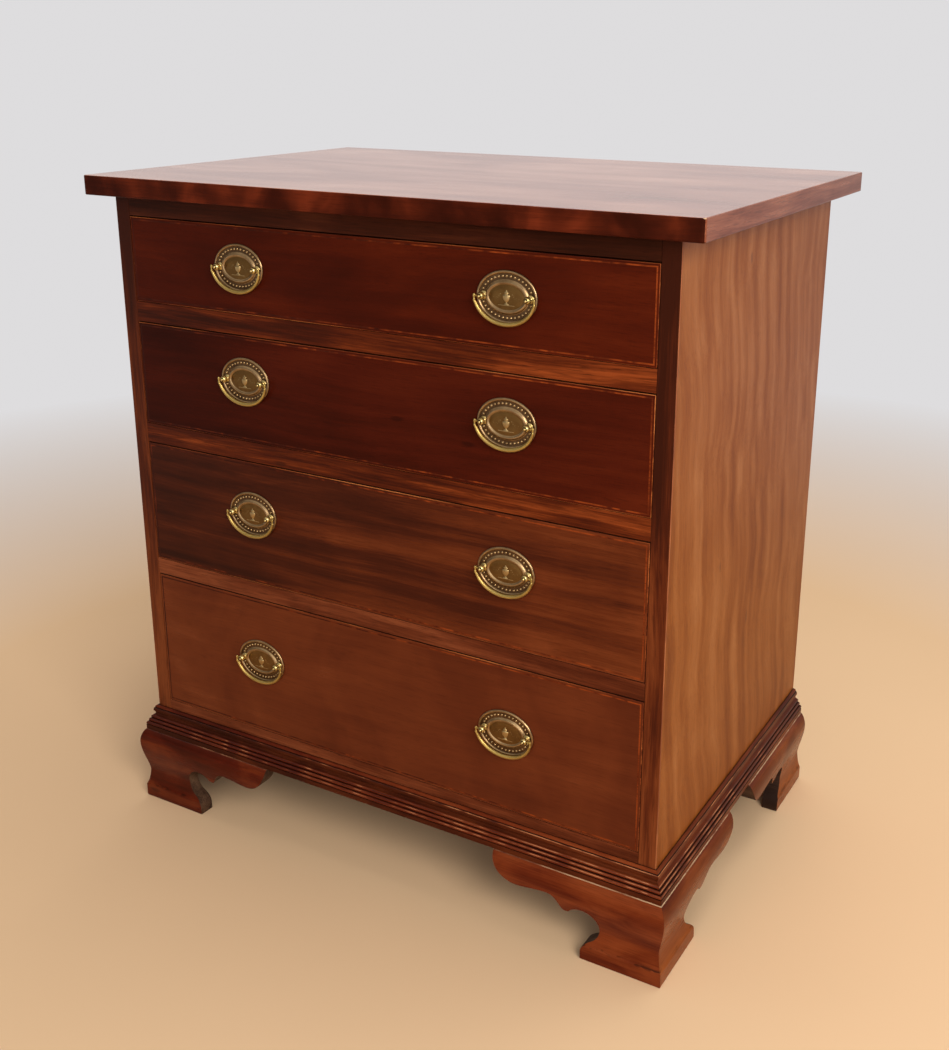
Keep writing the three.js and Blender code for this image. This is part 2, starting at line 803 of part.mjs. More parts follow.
const base = new THREE.Group();
chest.add(base);
const section = mouldingSection();
const frontMoulding = wallRun(section, seam, carcassWidth - seam, true, true, onFront);
piece("base_moulding_front", frontMoulding, finishes.base, base);
[
  ["left", -1],
  ["right", 1],
].forEach(([side, hand]) => {
  const sideMoulding = wallRun(section, 0, carcassDepth, true, false, onSide(hand));
  piece(`base_moulding_${side}`, sideMoulding, finishes.base, base);

  const onFrontFrom = (out, along, height) => {
    const [x, y, z] = onFront(out, along, height);
    return [-hand * x, y, z];
  };
  const frontBracket = bracket(onFrontFrom, true, seam);
  piece(`front_${side}_foot_front`, frontBracket, finishes.base, base);

  const frontInnerY = frontY + bracketInset + seam;
  const frontBlock = glueBlock(hand, frontInnerY, frontInnerY + blockSize);
  const frontSide = joined([bracket(onSide(hand), true), frontBlock]);
  piece(`front_${side}_foot_side`, frontSide, finishes.base, base);

  const backInnerY = backY - rearThickness - seam;
  const backBlock = glueBlock(hand, backInnerY - blockSize, backInnerY);
  const backSide = joined([bracket(onBackOfSide(hand), false), backBlock]);
  piece(`back_${side}_foot_side`, backSide, finishes.base, base);
  piece(`back_${side}_foot_back`, rearBracket(hand), finishes.inner, base);
});

const plate = handlePlate();
const bail = handleBail();
openings.forEach(({ floor, height }, index) => {
  const name = `drawer_${index + 1}`;
  const sizes = drawerSizes(height);
  const drawer = new THREE.Group();
  drawer.position.set(0, frontY, floor);
  chest.add(drawer);
  piece(`${name}_front`, drawerFront(sizes), finishes.front, drawer);
  piece(`${name}_left_side`, drawerSide(-1, sizes), finishes.lining, drawer);
  piece(`${name}_right_side`, drawerSide(1, sizes), finishes.lining, drawer);
  piece(`${name}_back`, drawerBack(sizes), finishes.lining, drawer);
  piece(`${name}_bottom`, drawerBottom(sizes), finishes.lining, drawer);
  [
    ["left", -1],
    ["right", 1],
  ].forEach(([side, hand]) => {
    const handle = new THREE.Group();
    const x = (hand * handleSpacing) / 2;
    handle.position.set(x, 0, height / 2 + handleRises[index]);
    drawer.add(handle);
    piece(`${name}_${side}_plate`, plate, finishes.brass, handle);
    piece(`${name}_${side}_bail`, bail, finishes.brass, handle);
  });
});

export default chest;
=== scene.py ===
import math
import bmesh
import bpy
from mathutils import Matrix, Vector


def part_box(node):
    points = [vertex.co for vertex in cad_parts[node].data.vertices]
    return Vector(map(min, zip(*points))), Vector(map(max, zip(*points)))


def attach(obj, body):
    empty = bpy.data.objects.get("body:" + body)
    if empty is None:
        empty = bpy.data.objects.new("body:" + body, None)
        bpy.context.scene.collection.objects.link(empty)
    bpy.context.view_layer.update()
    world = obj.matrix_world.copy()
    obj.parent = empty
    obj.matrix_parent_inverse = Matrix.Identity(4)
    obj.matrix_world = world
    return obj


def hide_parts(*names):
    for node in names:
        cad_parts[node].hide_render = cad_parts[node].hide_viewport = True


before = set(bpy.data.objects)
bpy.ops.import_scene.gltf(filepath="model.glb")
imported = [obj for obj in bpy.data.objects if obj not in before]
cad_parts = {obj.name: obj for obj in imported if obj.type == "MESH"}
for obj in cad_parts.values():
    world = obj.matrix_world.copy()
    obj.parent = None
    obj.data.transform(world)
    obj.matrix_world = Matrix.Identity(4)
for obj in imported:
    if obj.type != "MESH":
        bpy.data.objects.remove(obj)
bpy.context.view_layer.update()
mm = 0.001
print("frame loaded:", len(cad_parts), "nodes")


# Selecting and shaping, as by hand

# how near counts as the same point, and what counts as flat or as lying on a plane
merging = {
    "nodeGap": 0.002 * mm, "flatAngle": math.radians(0.4), "turnedGap": 0.01 * mm, "sawnGap": 0.02 * mm,
    "planeSlack": 0.05 * mm,
}


def deselectAll():
    bpy.ops.object.select_all(action="DESELECT")


def makeActive(piece):
    deselectAll()
    piece.select_set(True)
    bpy.context.view_layer.objects.active = piece


def startEdit(piece):  # with everything selected
    makeActive(piece)
    bpy.ops.object.mode_set(mode="EDIT")
    bpy.ops.mesh.select_mode(type="VERT")
    bpy.ops.mesh.select_all(action="SELECT")


def endEdit():
    bpy.ops.object.mode_set(mode="OBJECT")


def pick(piece, kind, test):  # edges or faces
    bpy.ops.mesh.select_mode(type=kind[:-1].upper())
    bpy.ops.mesh.select_all(action="DESELECT")
    mesh = bmesh.from_edit_mesh(piece.data)
    for part in getattr(mesh, kind):
        if test(part):
            part.select_set(True)
    mesh.select_flush_mode()
    bmesh.update_edit_mesh(piece.data)


def faceOutwards():
    bpy.ops.mesh.select_all(action="SELECT")
    bpy.ops.mesh.normals_make_consistent(inside=False)


def lieOn(axis, value):  # all corners of an edge or face are on that plane
    return lambda part: all(abs(vert.co[axis] - value) < merging["planeSlack"] for vert in part.verts)


def bevelEdges(piece, test, width, segments=3, slot=-1):
    startEdit(piece)
    pick(piece, "edges", test)
    bpy.ops.mesh.bevel(offset=width, segments=segments, affect="EDGES", material=slot)
    endEdit()


def paintFaces(piece, slot, test):
    for face in piece.data.polygons:
        if test(face):
            face.material_index = slot


def giveFinishes(piece, *names):
    for name in names:
        piece.data.materials.append(finishes[name])


def useModifier(piece, kind, **settings):
    makeActive(piece)
    modifier = piece.modifiers.new(kind.lower(), kind)
    for name, value in settings.items():
        setattr(modifier, name, value)
    bpy.ops.object.modifier_apply(modifier=modifier.name)


def applyPlace(piece):
    makeActive(piece)
    bpy.ops.object.transform_apply(location=True, rotation=True, scale=True)


def nameNew(name):
    piece = bpy.context.object
    piece.name = name
    piece.data.name = name
    return piece


def addBlock(name, low, high):
    deselectAll()
    size = [b - a for a, b in zip(low, high)]
    middle = [(a + b) / 2 for a, b in zip(low, high)]
    bpy.ops.mesh.primitive_cube_add(size=1, location=middle, scale=size)
    piece = nameNew(name)
    applyPlace(piece)
    return piece


def addPiece(name, data):
    data.name = name
    piece = bpy.data.objects.new(name, data)
    bpy.context.scene.collection.objects.link(piece)
    return piece


def copyNode(node):  # a CAD node's mesh, merged into clean faces that can be shaped on
    piece = addPiece(node + "_finished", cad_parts[node].data.copy())
    piece.data.materials.clear()
    makeActive(piece)
    bpy.ops.mesh.customdata_custom_splitnormals_clear()
    startEdit(piece)
    bpy.ops.mesh.remove_doubles(threshold=merging["nodeGap"])
    bpy.ops.mesh.dissolve_limited(angle_limit=merging["flatAngle"])
    endEdit()
    return piece


def copyTo(piece, name, step):  # a copy with a mesh of its own, its place in the mesh
    copied = addPiece(name, piece.data.copy())
    copied.location = Vector(step)
    applyPlace(copied)
    return copied


def drawLine(name, points, closed=False):  # drawn point by point; a closed one is a flat face
    deselectAll()
    bpy.ops.mesh.primitive_plane_add(size=mm, location=points[0])
    piece = nameNew(name)
    startEdit(piece)
    bpy.ops.mesh.merge(type="CENTER")
    for here, there in zip(points, points[1:]):
        step = Vector(there) - Vector(here)
        bpy.ops.mesh.extrude_region_move(TRANSFORM_OT_translate={"value": step})
    if closed:
        bpy.ops.mesh.select_all(action="SELECT")
        bpy.ops.mesh.edge_face_add()
    endEdit()
    applyPlace(piece)
    return piece


def extrudeAll(piece, step):
    startEdit(piece)
    bpy.ops.mesh.extrude_region_move(TRANSFORM_OT_translate={"value": step})
    faceOutwards()
    endEdit()


def sawOff(piece, place, normal):  # keeps what lies behind the plane
    startEdit(piece)
    bpy.ops.mesh.bisect(plane_co=place, plane_no=Vector(normal).normalized(), use_fill=True, clear_outer=True)
    endEdit()


def weld(piece, gap):
    startEdit(piece)
    bpy.ops.mesh.remove_doubles(threshold=gap)
    endEdit()


def arcPoints(u, v, radiusU, radiusV, start, end, steps):  # degrees, anticlockwise from straight out
    turns = [math.radians(start + (end - start) * step / steps) for step in range(steps + 1)]
    return [(u + radiusU * math.cos(turn), v + radiusV * math.sin(turn)) for turn in turns]


def bendPoints(start, end, shares, steps=12):  # a curve whose handles are shares of the way over and up
    across, up = end[0] - start[0], end[1] - start[1]
    handles = [(0, 0), shares[:2], shares[2:], (1, 1)]
    points = []
    for step in range(steps + 1):
        t = step / steps
        weights = [(1 - t) ** 3, 3 * t * (1 - t) ** 2, 3 * t * t * (1 - t), t ** 3]
        over = sum(weight * handle[0] for weight, handle in zip(weights, handles))
        rise = sum(weight * handle[1] for weight, handle in zip(weights, handles))
        points.append((start[0] + across * over, start[1] + up * rise))
    return points


def finish(piece, body, nodes, angle=35):
    makeActive(piece)
    bpy.ops.object.shade_smooth_by_angle(angle=math.radians(angle))
    useModifier(piece, "WEIGHTED_NORMAL", keep_sharp=True)
    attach(piece, body)
    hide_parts(*nodes)
    deselectAll()


# Material nodes

def feed(node, inputs):  # links sockets and sets values
    for name, value in inputs.items():
        if isinstance(value, bpy.types.NodeSocket):
            node.id_data.links.new(value, node.inputs[name])
        else:
            node.inputs[name].default_value = value


def addNode(tree, kind, inputs=None, **settings):
    node = tree.nodes.new("ShaderNode" + kind)
    for name, value in settings.items():
        setattr(node, name, value)
    feed(node, inputs or {})
    return node


def newMaterial(name):
    material = bpy.data.materials.new(name)
    material.use_nodes = True
    return material, material.node_tree, material.node_tree.nodes["Principled BSDF"]


def screenColour(colour):
    parts = [value / 255 for value in colour]
    return [((part + 0.055) / 1.055) ** 2.4 if part > 0.04045 else part / 12.92 for part in parts] + [1]


# These take their tree from the socket that they read

def vectorMath(operation, first, second):
    return addNode(first.id_data, "VectorMath", {0: first, 1: second}, operation=operation).outputs[0]


def scaled(vector, scales):  # along the grain and across it, or along three axes
    return vectorMath("MULTIPLY", vector, (scales[0], scales[1], scales[-1]))


def noise(vector, scales, detail=2, roughness=0.5, distortion=0, output="Fac"):
    inputs = {"Vector": scaled(vector, scales), "Scale": 1}
    inputs |= {"Detail": detail, "Roughness": roughness, "Distortion": distortion}
    return addNode(vector.id_data, "TexNoise", inputs).outputs[output]


def math2(operation, first, second, third=0.0):
    return addNode(first.id_data, "Math", {0: first, 1: second, 2: third}, operation=operation).outputs[0]


def blendSum(parts):  # weighs values that swing round one half
    total = 0.5 - 0.5 * sum(weight for _, weight in parts)
    for value, weight in parts:
        total = math2("MULTIPLY_ADD", value, weight, total)
    return total


def colourRamp(value, stops):
    node = addNode(value.id_data, "ValToRGB", {"Fac": value})
    ramp = node.color_ramp
    while len(ramp.elements) < len(stops):
        ramp.elements.new(1.0)
    for element, (position, colour) in zip(ramp.elements, stops):
        element.position = position
        element.color = colour
    return node.outputs["Color"]


def mixColour(value, first, second):
    return addNode(value.id_data, "Mix", {0: value, 6: first, 7: second}, data_type="RGBA").outputs[2]


def mapRange(value, fromLow, fromHigh, toLow, toHigh):
    inputs = {0: value, 1: fromLow, 2: fromHigh, 3: toLow, 4: toHigh}
    return addNode(value.id_data, "MapRange", inputs).outputs[0]


def bumpNormal(height, strength, depth):
    inputs = {"Height": height, "Strength": strength, "Distance": depth}
    return addNode(height.id_data, "Bump", inputs).outputs[0]


grainTurns = {"x": (0, 0, 0), "y": (0, 0, math.pi / 2), "z": (0, math.pi / 2, 0)}


plainWood = {  # what a wood has unless its own look says otherwise; scales are turns per metre
    "grain": "x", "lean": 0, "wander": 0.03, "swayScale": (1.6, 5), "streakScale": (2.4, 60),
    "lineScale": (11, 480), "blotchScale": (6, 9), "poreScale": (45, 900), "speckScale": (5, 13),
    "stainScale": (70, 70, 160), "toneStops": (0.28, 0.44, 0.56, 0.74), "specks": 0.5,
    "coat": (0, 0.12), "bump": 0.25, "bumpDepth": 0.3 * mm,
}


def woodMaterial(name, ownLook):
    look = plainWood | ownLook
    streakWeight, lineWeight, blotchWeight, poreWeight = look["figure"]
    rough, specular, tint = look["polish"]
    poreColour, *tones = [screenColour(colour) for colour in look["colours"]]
    material, tree, shader = newMaterial(name)
    place = addNode(tree, "TexCoord").outputs["Object"]
    turn = Vector(grainTurns[look["grain"]]) + Vector((look["lean"], 0, 0))
    inputs = {"Vector": place, "Rotation": turn, "Location": look["shift"]}
    board = addNode(tree, "Mapping", inputs).outputs[0]
    sway = vectorMath("SUBTRACT", noise(board, look["swayScale"], output="Color"), (0.5, 0.5, 0.5))
    board = vectorMath("ADD", board, scaled(sway, [look["wander"]] * 2))

    streaks = noise(board, look["streakScale"], 6, 0.55)
    lines = noise(board, look["lineScale"], 2, 0.6)
    blotch = noise(board, look["blotchScale"], 3, 0.5, 0.6)
    parts = [(streaks, streakWeight), (lines, lineWeight), (blotch, blotchWeight)]
    if "ribbons" in look:
        parts.append((noise(board, look["ribbonScale"], 1, 0.4), look["ribbons"]))
    axes = addNode(tree, "SeparateXYZ", {0: place}).outputs
    # a painted gradient of light and shade along one axis
    if "fade" in look:
        axis, dark, pale, weight = look["fade"]
        parts.append((mapRange(axes[axis], dark, pale, 0, 1), weight))
    tone = blendSum(parts)
    colour = colourRamp(tone, list(zip(look["toneStops"], tones)))

    pores = mapRange(noise(board, look["poreScale"], 1), 0.56, 0.70, 0, poreWeight)
    colour = mixColour(pores, colour, poreColour)
    spots = addNode(tree, "TexVoronoi", {"Vector": scaled(board, look["speckScale"]), "Scale": 1})
    speck = mapRange(spots.outputs["Distance"], 0.03, 0.06, look["specks"], 0)
    colour = mixColour(speck, colour, poreColour)
    if "stain" in look:  # dark marks along one level
        height, spread, strength = look["stain"]
        apart = math2("ABSOLUTE", math2("SUBTRACT", axes["Z"], height), 0)
        near = mapRange(apart, 0, spread, 1, 0)
        marks = mapRange(noise(place, look["stainScale"], 2), 0.5, 0.6, 0, strength)
        colour = mixColour(math2("MULTIPLY", near, marks), colour, poreColour)
    relief = math2("SUBTRACT", blendSum([(lines, 0.5), (streaks, 0.5)]), pores)
    feed(shader, {
        "Base Color": colour, "Roughness": mapRange(tone, 0.3, 0.7, rough + 0.05, rough - 0.03),
        "Specular IOR Level": specular, "Specular Tint": tint,
        "Coat Weight": look["coat"][0], "Coat Roughness": look["coat"][1],
        "Normal": bumpNormal(relief, look["bump"], look["bumpDepth"]),
    })
    return material


# Finishes of the woods. Colours are that of the pores, and four tones from dark to light. The figure weighs
# streaks, fine lines, blotches and pores. The polish is its roughness, its strength and its tint.
# A fade is its axis, dark end, pale end and weight; it paints a gradient of light and shade across the
# piece. A stain is its height, spread and strength.

warm, clear = (1, 0.4, 0.22, 1), (1, 1, 1, 1)

woods = {
    "topFace": {
        "colours": [(84, 36, 22), (106, 50, 26), (132, 65, 36), (154, 84, 48), (184, 114, 72)],
        "figure": (0.35, 0.15, 0.5, 0.25), "polish": (0.24, 0.5, clear), "shift": (0.2, 0.1, 0),
        "wander": 0.12, "blotchScale": (4, 8), "streakScale": (2.2, 34), "coat": (0.25, 0.12),
    },
    "topEdge": {
        "colours": [(34, 9, 5), (38, 11, 5), (54, 17, 8), (74, 26, 12), (108, 42, 21)],
        "figure": (0.35, 0.12, 1.0, 0.25), "polish": (0.26, 0.06, warm), "shift": (0.7, 0.3, 0.1),
        "wander": 0.04, "blotchScale": (13, 12),
    },
    # the top's ends are paler than its front edge, partly painted light falling from the right
    "topEnd": {
        "colours": [(64, 26, 15), (92, 44, 28), (118, 62, 42), (138, 80, 56), (158, 98, 72)], "grain": "y",
        "figure": (0.7, 0.4, 0.6, 0.4), "polish": (0.28, 0.15, warm), "shift": (0.7, 0.3, 0.1),
        "wander": 0.04,
    },
    # the side panel is paler than the stile beside it: partly its own faded wood, partly painted light from
    # the right
    "sidePanel": {
        "colours": [(88, 44, 20), (116, 57, 16), (135, 72, 22), (146, 83, 32), (162, 100, 50)], "grain": "z",
        "figure": (0.35, 0.25, 0.3, 0.3), "polish": (0.36, 0.08, warm), "shift": (0.1, 0.45, 0.2),
        "wander": 0.07, "ribbons": 0.6, "ribbonScale": (1.2, 48), "lean": -0.11, "swayScale": (5, 2.5),
        "fade": ("Z", 0.1, 0.9, 0.1),
    },
    # the stile darkens towards the top: painted shade under the top's overhang
    "stile": {
        "colours": [(40, 14, 7), (48, 17, 8), (68, 26, 12), (90, 39, 17), (116, 58, 28)], "grain": "z",
        "figure": (0.9, 0.4, 0.5, 0.4), "polish": (0.32, 0.12, warm), "shift": (0.3, 0.15, 0.2),
        "fade": ("Z", 0.9, 0.1, 0.5),
    },
    # the sides' outer front arris: worn, with a painted highlight on it
    "arris": {
        "colours": [(78, 36, 18), (96, 46, 22), (126, 66, 34), (150, 86, 48), (176, 112, 70)], "grain": "z",
        "figure": (0.9, 0.4, 0.8, 0.4), "polish": (0.35, 0.3, clear), "shift": (0.3, 0.15, 0.2),
    },
    # painted shade: the top rail is darker where the top's overhang shades it
    "shadedTopRail": {
        "colours": [(26, 8, 4), (30, 11, 6), (44, 17, 8), (55, 22, 11), (74, 34, 18)],
        "figure": (0.9, 0.3, 0.6, 0.4), "polish": (0.32, 0.1, warm), "shift": (0.9, 0.2, 0.6),
    },
    "rail": {
        "colours": [(36, 12, 5), (44, 14, 6), (66, 22, 8), (90, 35, 12), (134, 61, 25)],
        "figure": (0.65, 0.4, 0.4, 0.5), "polish": (0.32, 0.12, warm), "shift": (0.35, 0.8, 0.9),
        "wander": 0.04, "blotchScale": (9, 60), "streakScale": (5, 110), "fade": ("X", -0.37, 0.37, 0.2),
    },
    # the lowest rail and the bottom are paler than the rails above, partly painted light as on the lower
    # fronts
    "lowRail": {
        "colours": [(50, 20, 9), (70, 28, 13), (90, 40, 20), (104, 50, 27), (126, 66, 38)],
        "figure": (0.8, 0.4, 0.6, 0.5), "polish": (0.32, 0.12, warm), "shift": (0.1, 0.5, 0.2),
        "blotchScale": (8, 50), "fade": ("X", 0.37, -0.37, 0.25),
    },
    # the fronts grow paler from the top drawer down: partly each front's own tone, partly painted light that
    # falls more on the lower fronts
    "front1": {
        "colours": [(36, 9, 5), (46, 13, 6), (61, 17, 7), (73, 22, 8), (92, 33, 13)],
        "figure": (0.35, 0.1, 0.6, 0.25), "polish": (0.26, 0.06, warm), "shift": (0.1, 0.2, 0.31),
        "wander": 0.05, "blotchScale": (4, 10), "fade": ("X", -0.37, 0.37, 0.1),
    },
    "front2": {
        "colours": [(30, 8, 5), (36, 9, 5), (52, 14, 6), (66, 19, 8), (84, 29, 12)],
        "figure": (0.35, 0.1, 0.6, 0.25), "polish": (0.26, 0.06, warm), "shift": (0.5, 0.2, 0.11),
        "wander": 0.06, "blotchScale": (3, 7), "fade": ("X", -0.37, 0.37, 0.3),
    },
    "front3": {
        "colours": [(30, 12, 7), (40, 15, 8), (64, 25, 12), (88, 38, 17), (112, 54, 26)],
        "figure": (0.65, 0.15, 0.3, 0.25), "polish": (0.27, 0.1, warm), "shift": (0.2, 0.7, 0.47),
        "wander": 0.05, "streakScale": (2.0, 52), "fade": ("X", -0.37, 0.37, 0.25),
    },
    "front4": {
        "colours": [(56, 22, 10), (72, 29, 14), (88, 38, 18), (100, 46, 22), (122, 62, 34)],
        "figure": (0.3, 0.1, 0.45, 0.25), "polish": (0.28, 0.1, warm), "shift": (0.8, 0.4, 0.73),
        "wander": 0.06, "blotchScale": (9, 6), "fade": ("X", 0.37, -0.37, 0.1),
    },
    "string": {
        "colours": [(40, 14, 7), (44, 13, 6), (66, 21, 9), (94, 35, 12), (134, 58, 22)],
        "figure": (0.4, 0.3, 1.1, 0.5), "polish": (0.3, 0.12, warm), "shift": (0, 0, 0),
        "blotchScale": (60, 12), "fade": ("X", -0.37, 0.37, 0.35),
    },
    # painted highlight on the eased edge round each drawer front
    "frontEdgeHighlight": {
        "colours": [(50, 16, 7), (62, 20, 9), (98, 40, 17), (140, 70, 31), (186, 110, 56)],
        "figure": (0.9, 0.4, 0.9, 0.4), "polish": (0.3, 0.25, warm), "shift": (0.4, 0.4, 0.4),
    },
    "sawnEdge": {
        "colours": [(26, 11, 7), (36, 16, 9), (50, 23, 13), (64, 30, 17), (82, 42, 25)],
        "figure": (0.8, 0.4, 0.6, 0.4), "polish": (0.7, 0.05, clear), "shift": (0.5, 0.2, 0.9),
    },
    "baseAlong": {
        "colours": [(38, 13, 7), (50, 13, 6), (76, 22, 9), (104, 42, 18), (132, 63, 30)],
        "figure": (0.3, 0.15, 0.5, 0.25), "polish": (0.25, 0.16, warm), "shift": (0.6, 0.33, 0.2),
        "wander": 0.02, "blotchScale": (12, 30), "fade": ("X", -0.4, 0.45, 0.2),
        "stain": (0.0215, 0.003, 0.9),
    },
    "baseAcross": {
        "colours": [(44, 18, 8), (66, 22, 8), (98, 41, 15), (124, 60, 24), (150, 80, 36)], "grain": "y",
        "figure": (0.3, 0.15, 0.5, 0.25), "polish": (0.27, 0.08, warm), "shift": (0.6, 0.33, 0.2),
        "wander": 0.02, "blotchScale": (12, 30), "fade": ("Z", 0.112, 0.04, 0.2),
        "stain": (0.0215, 0.003, 0.6),
    },
    # painted shade for the grooves, the quirk and the crease against the carcass
    "grooveShade": {
        "colours": [(12, 5, 4), (14, 6, 4), (22, 8, 5), (32, 12, 7), (48, 18, 9)],
        "figure": (0.8, 0.4, 0.6, 0.4), "polish": (0.5, 0.08, warm), "shift": (0.6, 0.33, 0.2),
        "wander": 0.02,
    },
    # painted shade for the hollow under the bead
    "hollowShade": {
        "colours": [(30, 10, 6), (36, 11, 5), (52, 18, 8), (72, 29, 12), (94, 42, 19)],
        "figure": (0.4, 0.2, 0.6, 0.25), "polish": (0.28, 0.1, warm), "shift": (0.6, 0.33, 0.2),
        "wander": 0.02, "blotchScale": (12, 30), "fade": ("X", -0.4, 0.45, 0.2),
    },
    # the worn crowns of the reeds and the bead's edge, with a painted highlight on them
    "ridgeWearAndHighlight": {
        "colours": [(50, 18, 8), (52, 18, 8), (78, 31, 14), (108, 53, 27), (166, 106, 68)],
        "figure": (0.6, 0.4, 1.4, 0.4), "polish": (0.26, 0.2, clear), "shift": (0.6, 0.33, 0.2),
        "wander": 0.02, "fade": ("X", -0.42, 0.46, 0.4), "blotchScale": (34, 16),
    },
    # worn edges with a painted highlight on them: the top's front right corner and the feet's top arris
    "wornEdgeHighlight": {
        "colours": [(56, 24, 13), (56, 20, 10), (90, 42, 22), (132, 82, 52), (188, 152, 114)],
        "figure": (0.8, 0.4, 1.2, 0.4), "polish": (0.4, 0.3, clear), "shift": (0.1, 0.4, 0.3),
        "wander": 0.02, "blotchScale": (16, 16), "fade": ("X", -0.45, 0.44, 0.5),
    },
    "bareWood": {
        "colours": [(26, 14, 9), (42, 25, 17), (60, 39, 27), (78, 54, 38), (102, 75, 54)],
        "figure": (0.8, 0.4, 0.8, 0.4), "polish": (0.6, 0.1, clear), "shift": (0.3, 0.6, 0.1),
    },
    "oak": {
        "colours": [(96, 66, 36), (150, 112, 70), (172, 134, 88), (186, 150, 104), (204, 170, 122)],
        "grain": "y", "figure": (0.8, 0.5, 0.4, 0.6), "polish": (0.55, 0.3, clear), "shift": (0.2, 0.5, 0.8),
        "streakScale": (2, 90), "bump": 0.5,
    },
    "pine": {
        "colours": [(72, 44, 24), (104, 70, 42), (130, 92, 58), (148, 108, 70), (170, 130, 88)],
        "figure": (1.0, 0.5, 0.7, 0.4), "polish": (0.65, 0.25, clear), "shift": (0.4, 0.1, 0.6),
        "wander": 0.06, "streakScale": (1.5, 45), "bump": 0.6,
    },
    "pineUpright": {
        "colours": [(66, 42, 24), (96, 66, 42), (120, 86, 56), (138, 102, 68), (160, 124, 86)], "grain": "z",
        "figure": (1.0, 0.5, 0.7, 0.4), "polish": (0.68, 0.25, clear), "shift": (0.4, 0.1, 0.6),
        "wander": 0.06, "streakScale": (1.5, 45), "bump": 0.6,
    },
}
for name, grain in (("oak", "x"), ("grooveShade", "y"), ("ridgeWearAndHighlight", "y")):
    woods[name + "Across"] = woods[name] | {"grain": grain}
# the side lengths' crowns grow paler towards the front corner: more painted highlight there
woods["ridgeWearAndHighlightAcross"]["fade"] = ("Y", 0.3, -0.3, 0.3)  # paler towards the front corner
finishes = {name: woodMaterial(name, look) for name, look in woods.items()}
print("wood finishes made:", len(finishes))


brasses = {  # dark and bright tone, and roughness
    "rim": ((104, 76, 46), (190, 156, 112), 0.27),
    "trough": ((58, 39, 25), (116, 87, 58), 0.36),
    "medallion": ((86, 58, 28), (130, 96, 52), 0.38),
    "relief": ((132, 102, 62), (206, 176, 122), 0.3),
    "bead": ((104, 78, 48), (192, 158, 110), 0.34),
    "post": ((150, 122, 68), (232, 204, 136), 0.26),
    "bail": ((142, 114, 60), (212, 180, 104), 0.36),
}
tarnish = {"patchScale": 60, "grainScale": 900, "dulling": 0.12, "bump": 0.2, "bumpDepth": 0.2 * mm}


def brassMaterial(name, dark, bright, rough):
    material, tree, shader = newMaterial(name)
    place = addNode(tree, "TexCoord").outputs["Object"]
    patch = noise(place, [tarnish["patchScale"]] * 2, 4, 0.6)
    tone = blendSum([(patch, 1.2), (noise(place, [tarnish["grainScale"]] * 2), 0.4)])
    feed(shader, {
        "Base Color": mixColour(tone, screenColour(dark), screenColour(bright)), "Metallic": 1,
        "Roughness": mapRange(tone, 0.3, 0.7, rough + tarnish["dulling"], rough),
        "Normal": bumpNormal(patch, tarnish["bump"], tarnish["bumpDepth"]),
    })
    return material


for name, look in brasses.items():
    finishes[name] = brassMaterial("brass" + name.capitalize(), *look)

# Linings, dust boards and back keep the frame's own shapes
for node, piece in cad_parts.items():
    if node.startswith("drawer"):
        finishName = "oak" if node.endswith("_side") else "oakAcross"
    else:
        finishName = "pineUpright" if node == "back_panel" else "pine"
    for slot in piece.material_slots:
        slot.material = finishes[finishName]
print("linings and boards dressed")


# Top board: rounded corners, eased edges, a darker edge round a polished face

topBoard = {"corner": 4 * mm, "easing": 1.6 * mm, "wornReach": 2.8 * mm, "facing": 0.75}


def makeTop():
    low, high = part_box("top")
    piece = addBlock("top_finished", low, high)
    uprights = lambda edge: abs(edge.verts[0].co.z - edge.verts[1].co.z) > mm
    bevelEdges(piece, uprights, topBoard["corner"], 6)
    for level in (low.z, high.z):
        bevelEdges(piece, lieOn(2, level), topBoard["easing"], 4)
    giveFinishes(piece, "topFace", "topEdge", "topEnd", "wornEdgeHighlight")
    paintFaces(piece, 1, lambda face: face.normal.z < topBoard["facing"])
    paintFaces(piece, 2, lambda face: abs(face.normal.x) > topBoard["facing"])
    knocked = Vector((high.x, low.y, high.z))  # the corner that is worn pale, with a painted highlight on it
    paintFaces(piece, 3, lambda face: (face.center - knocked).length < topBoard["wornReach"])
    finish(piece, "carcass", ["top"])


# Carcass: sides, rails and bottom with softened front arrises

hands = {"left": -1, "right": 1}
carcass = {"arris": 0.9 * mm, "railArris": 0.5 * mm, "stileDepth": 28 * mm}
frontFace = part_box("left_side")[0].y


def makeSide(node, hand):
    low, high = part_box(node)
    outer = high.x if hand > 0 else low.x
    piece = copyNode(node)
    giveFinishes(piece, "sidePanel", "stile", "pineUpright", "arris")
    lining = frontFace + carcass["stileDepth"]
    startEdit(piece)
    bpy.ops.mesh.bisect(plane_co=(0, lining, 0), plane_no=(0, 1, 0))
    endEdit()
    paintFaces(piece, 2, lambda face: True)
    paintFaces(piece, 1, lambda face: face.center.y < lining)
    paintFaces(piece, 0, lambda face: abs(face.center.x - outer) < mm)
    paintFaces(piece, 1, lambda face: abs(face.center.y - frontFace) < mm)
    atFront, atOuter, atInner = lieOn(1, frontFace), lieOn(0, outer), lieOn(0, low.x + high.x - outer)
    # the outer front arris takes the worn finish with its painted highlight
    bevelEdges(piece, lambda edge: atFront(edge) and atOuter(edge), carcass["arris"], 3, 3)
    bevelEdges(piece, lambda edge: atFront(edge) and atInner(edge), carcass["railArris"], 2, 1)
    finish(piece, "carcass", [node])


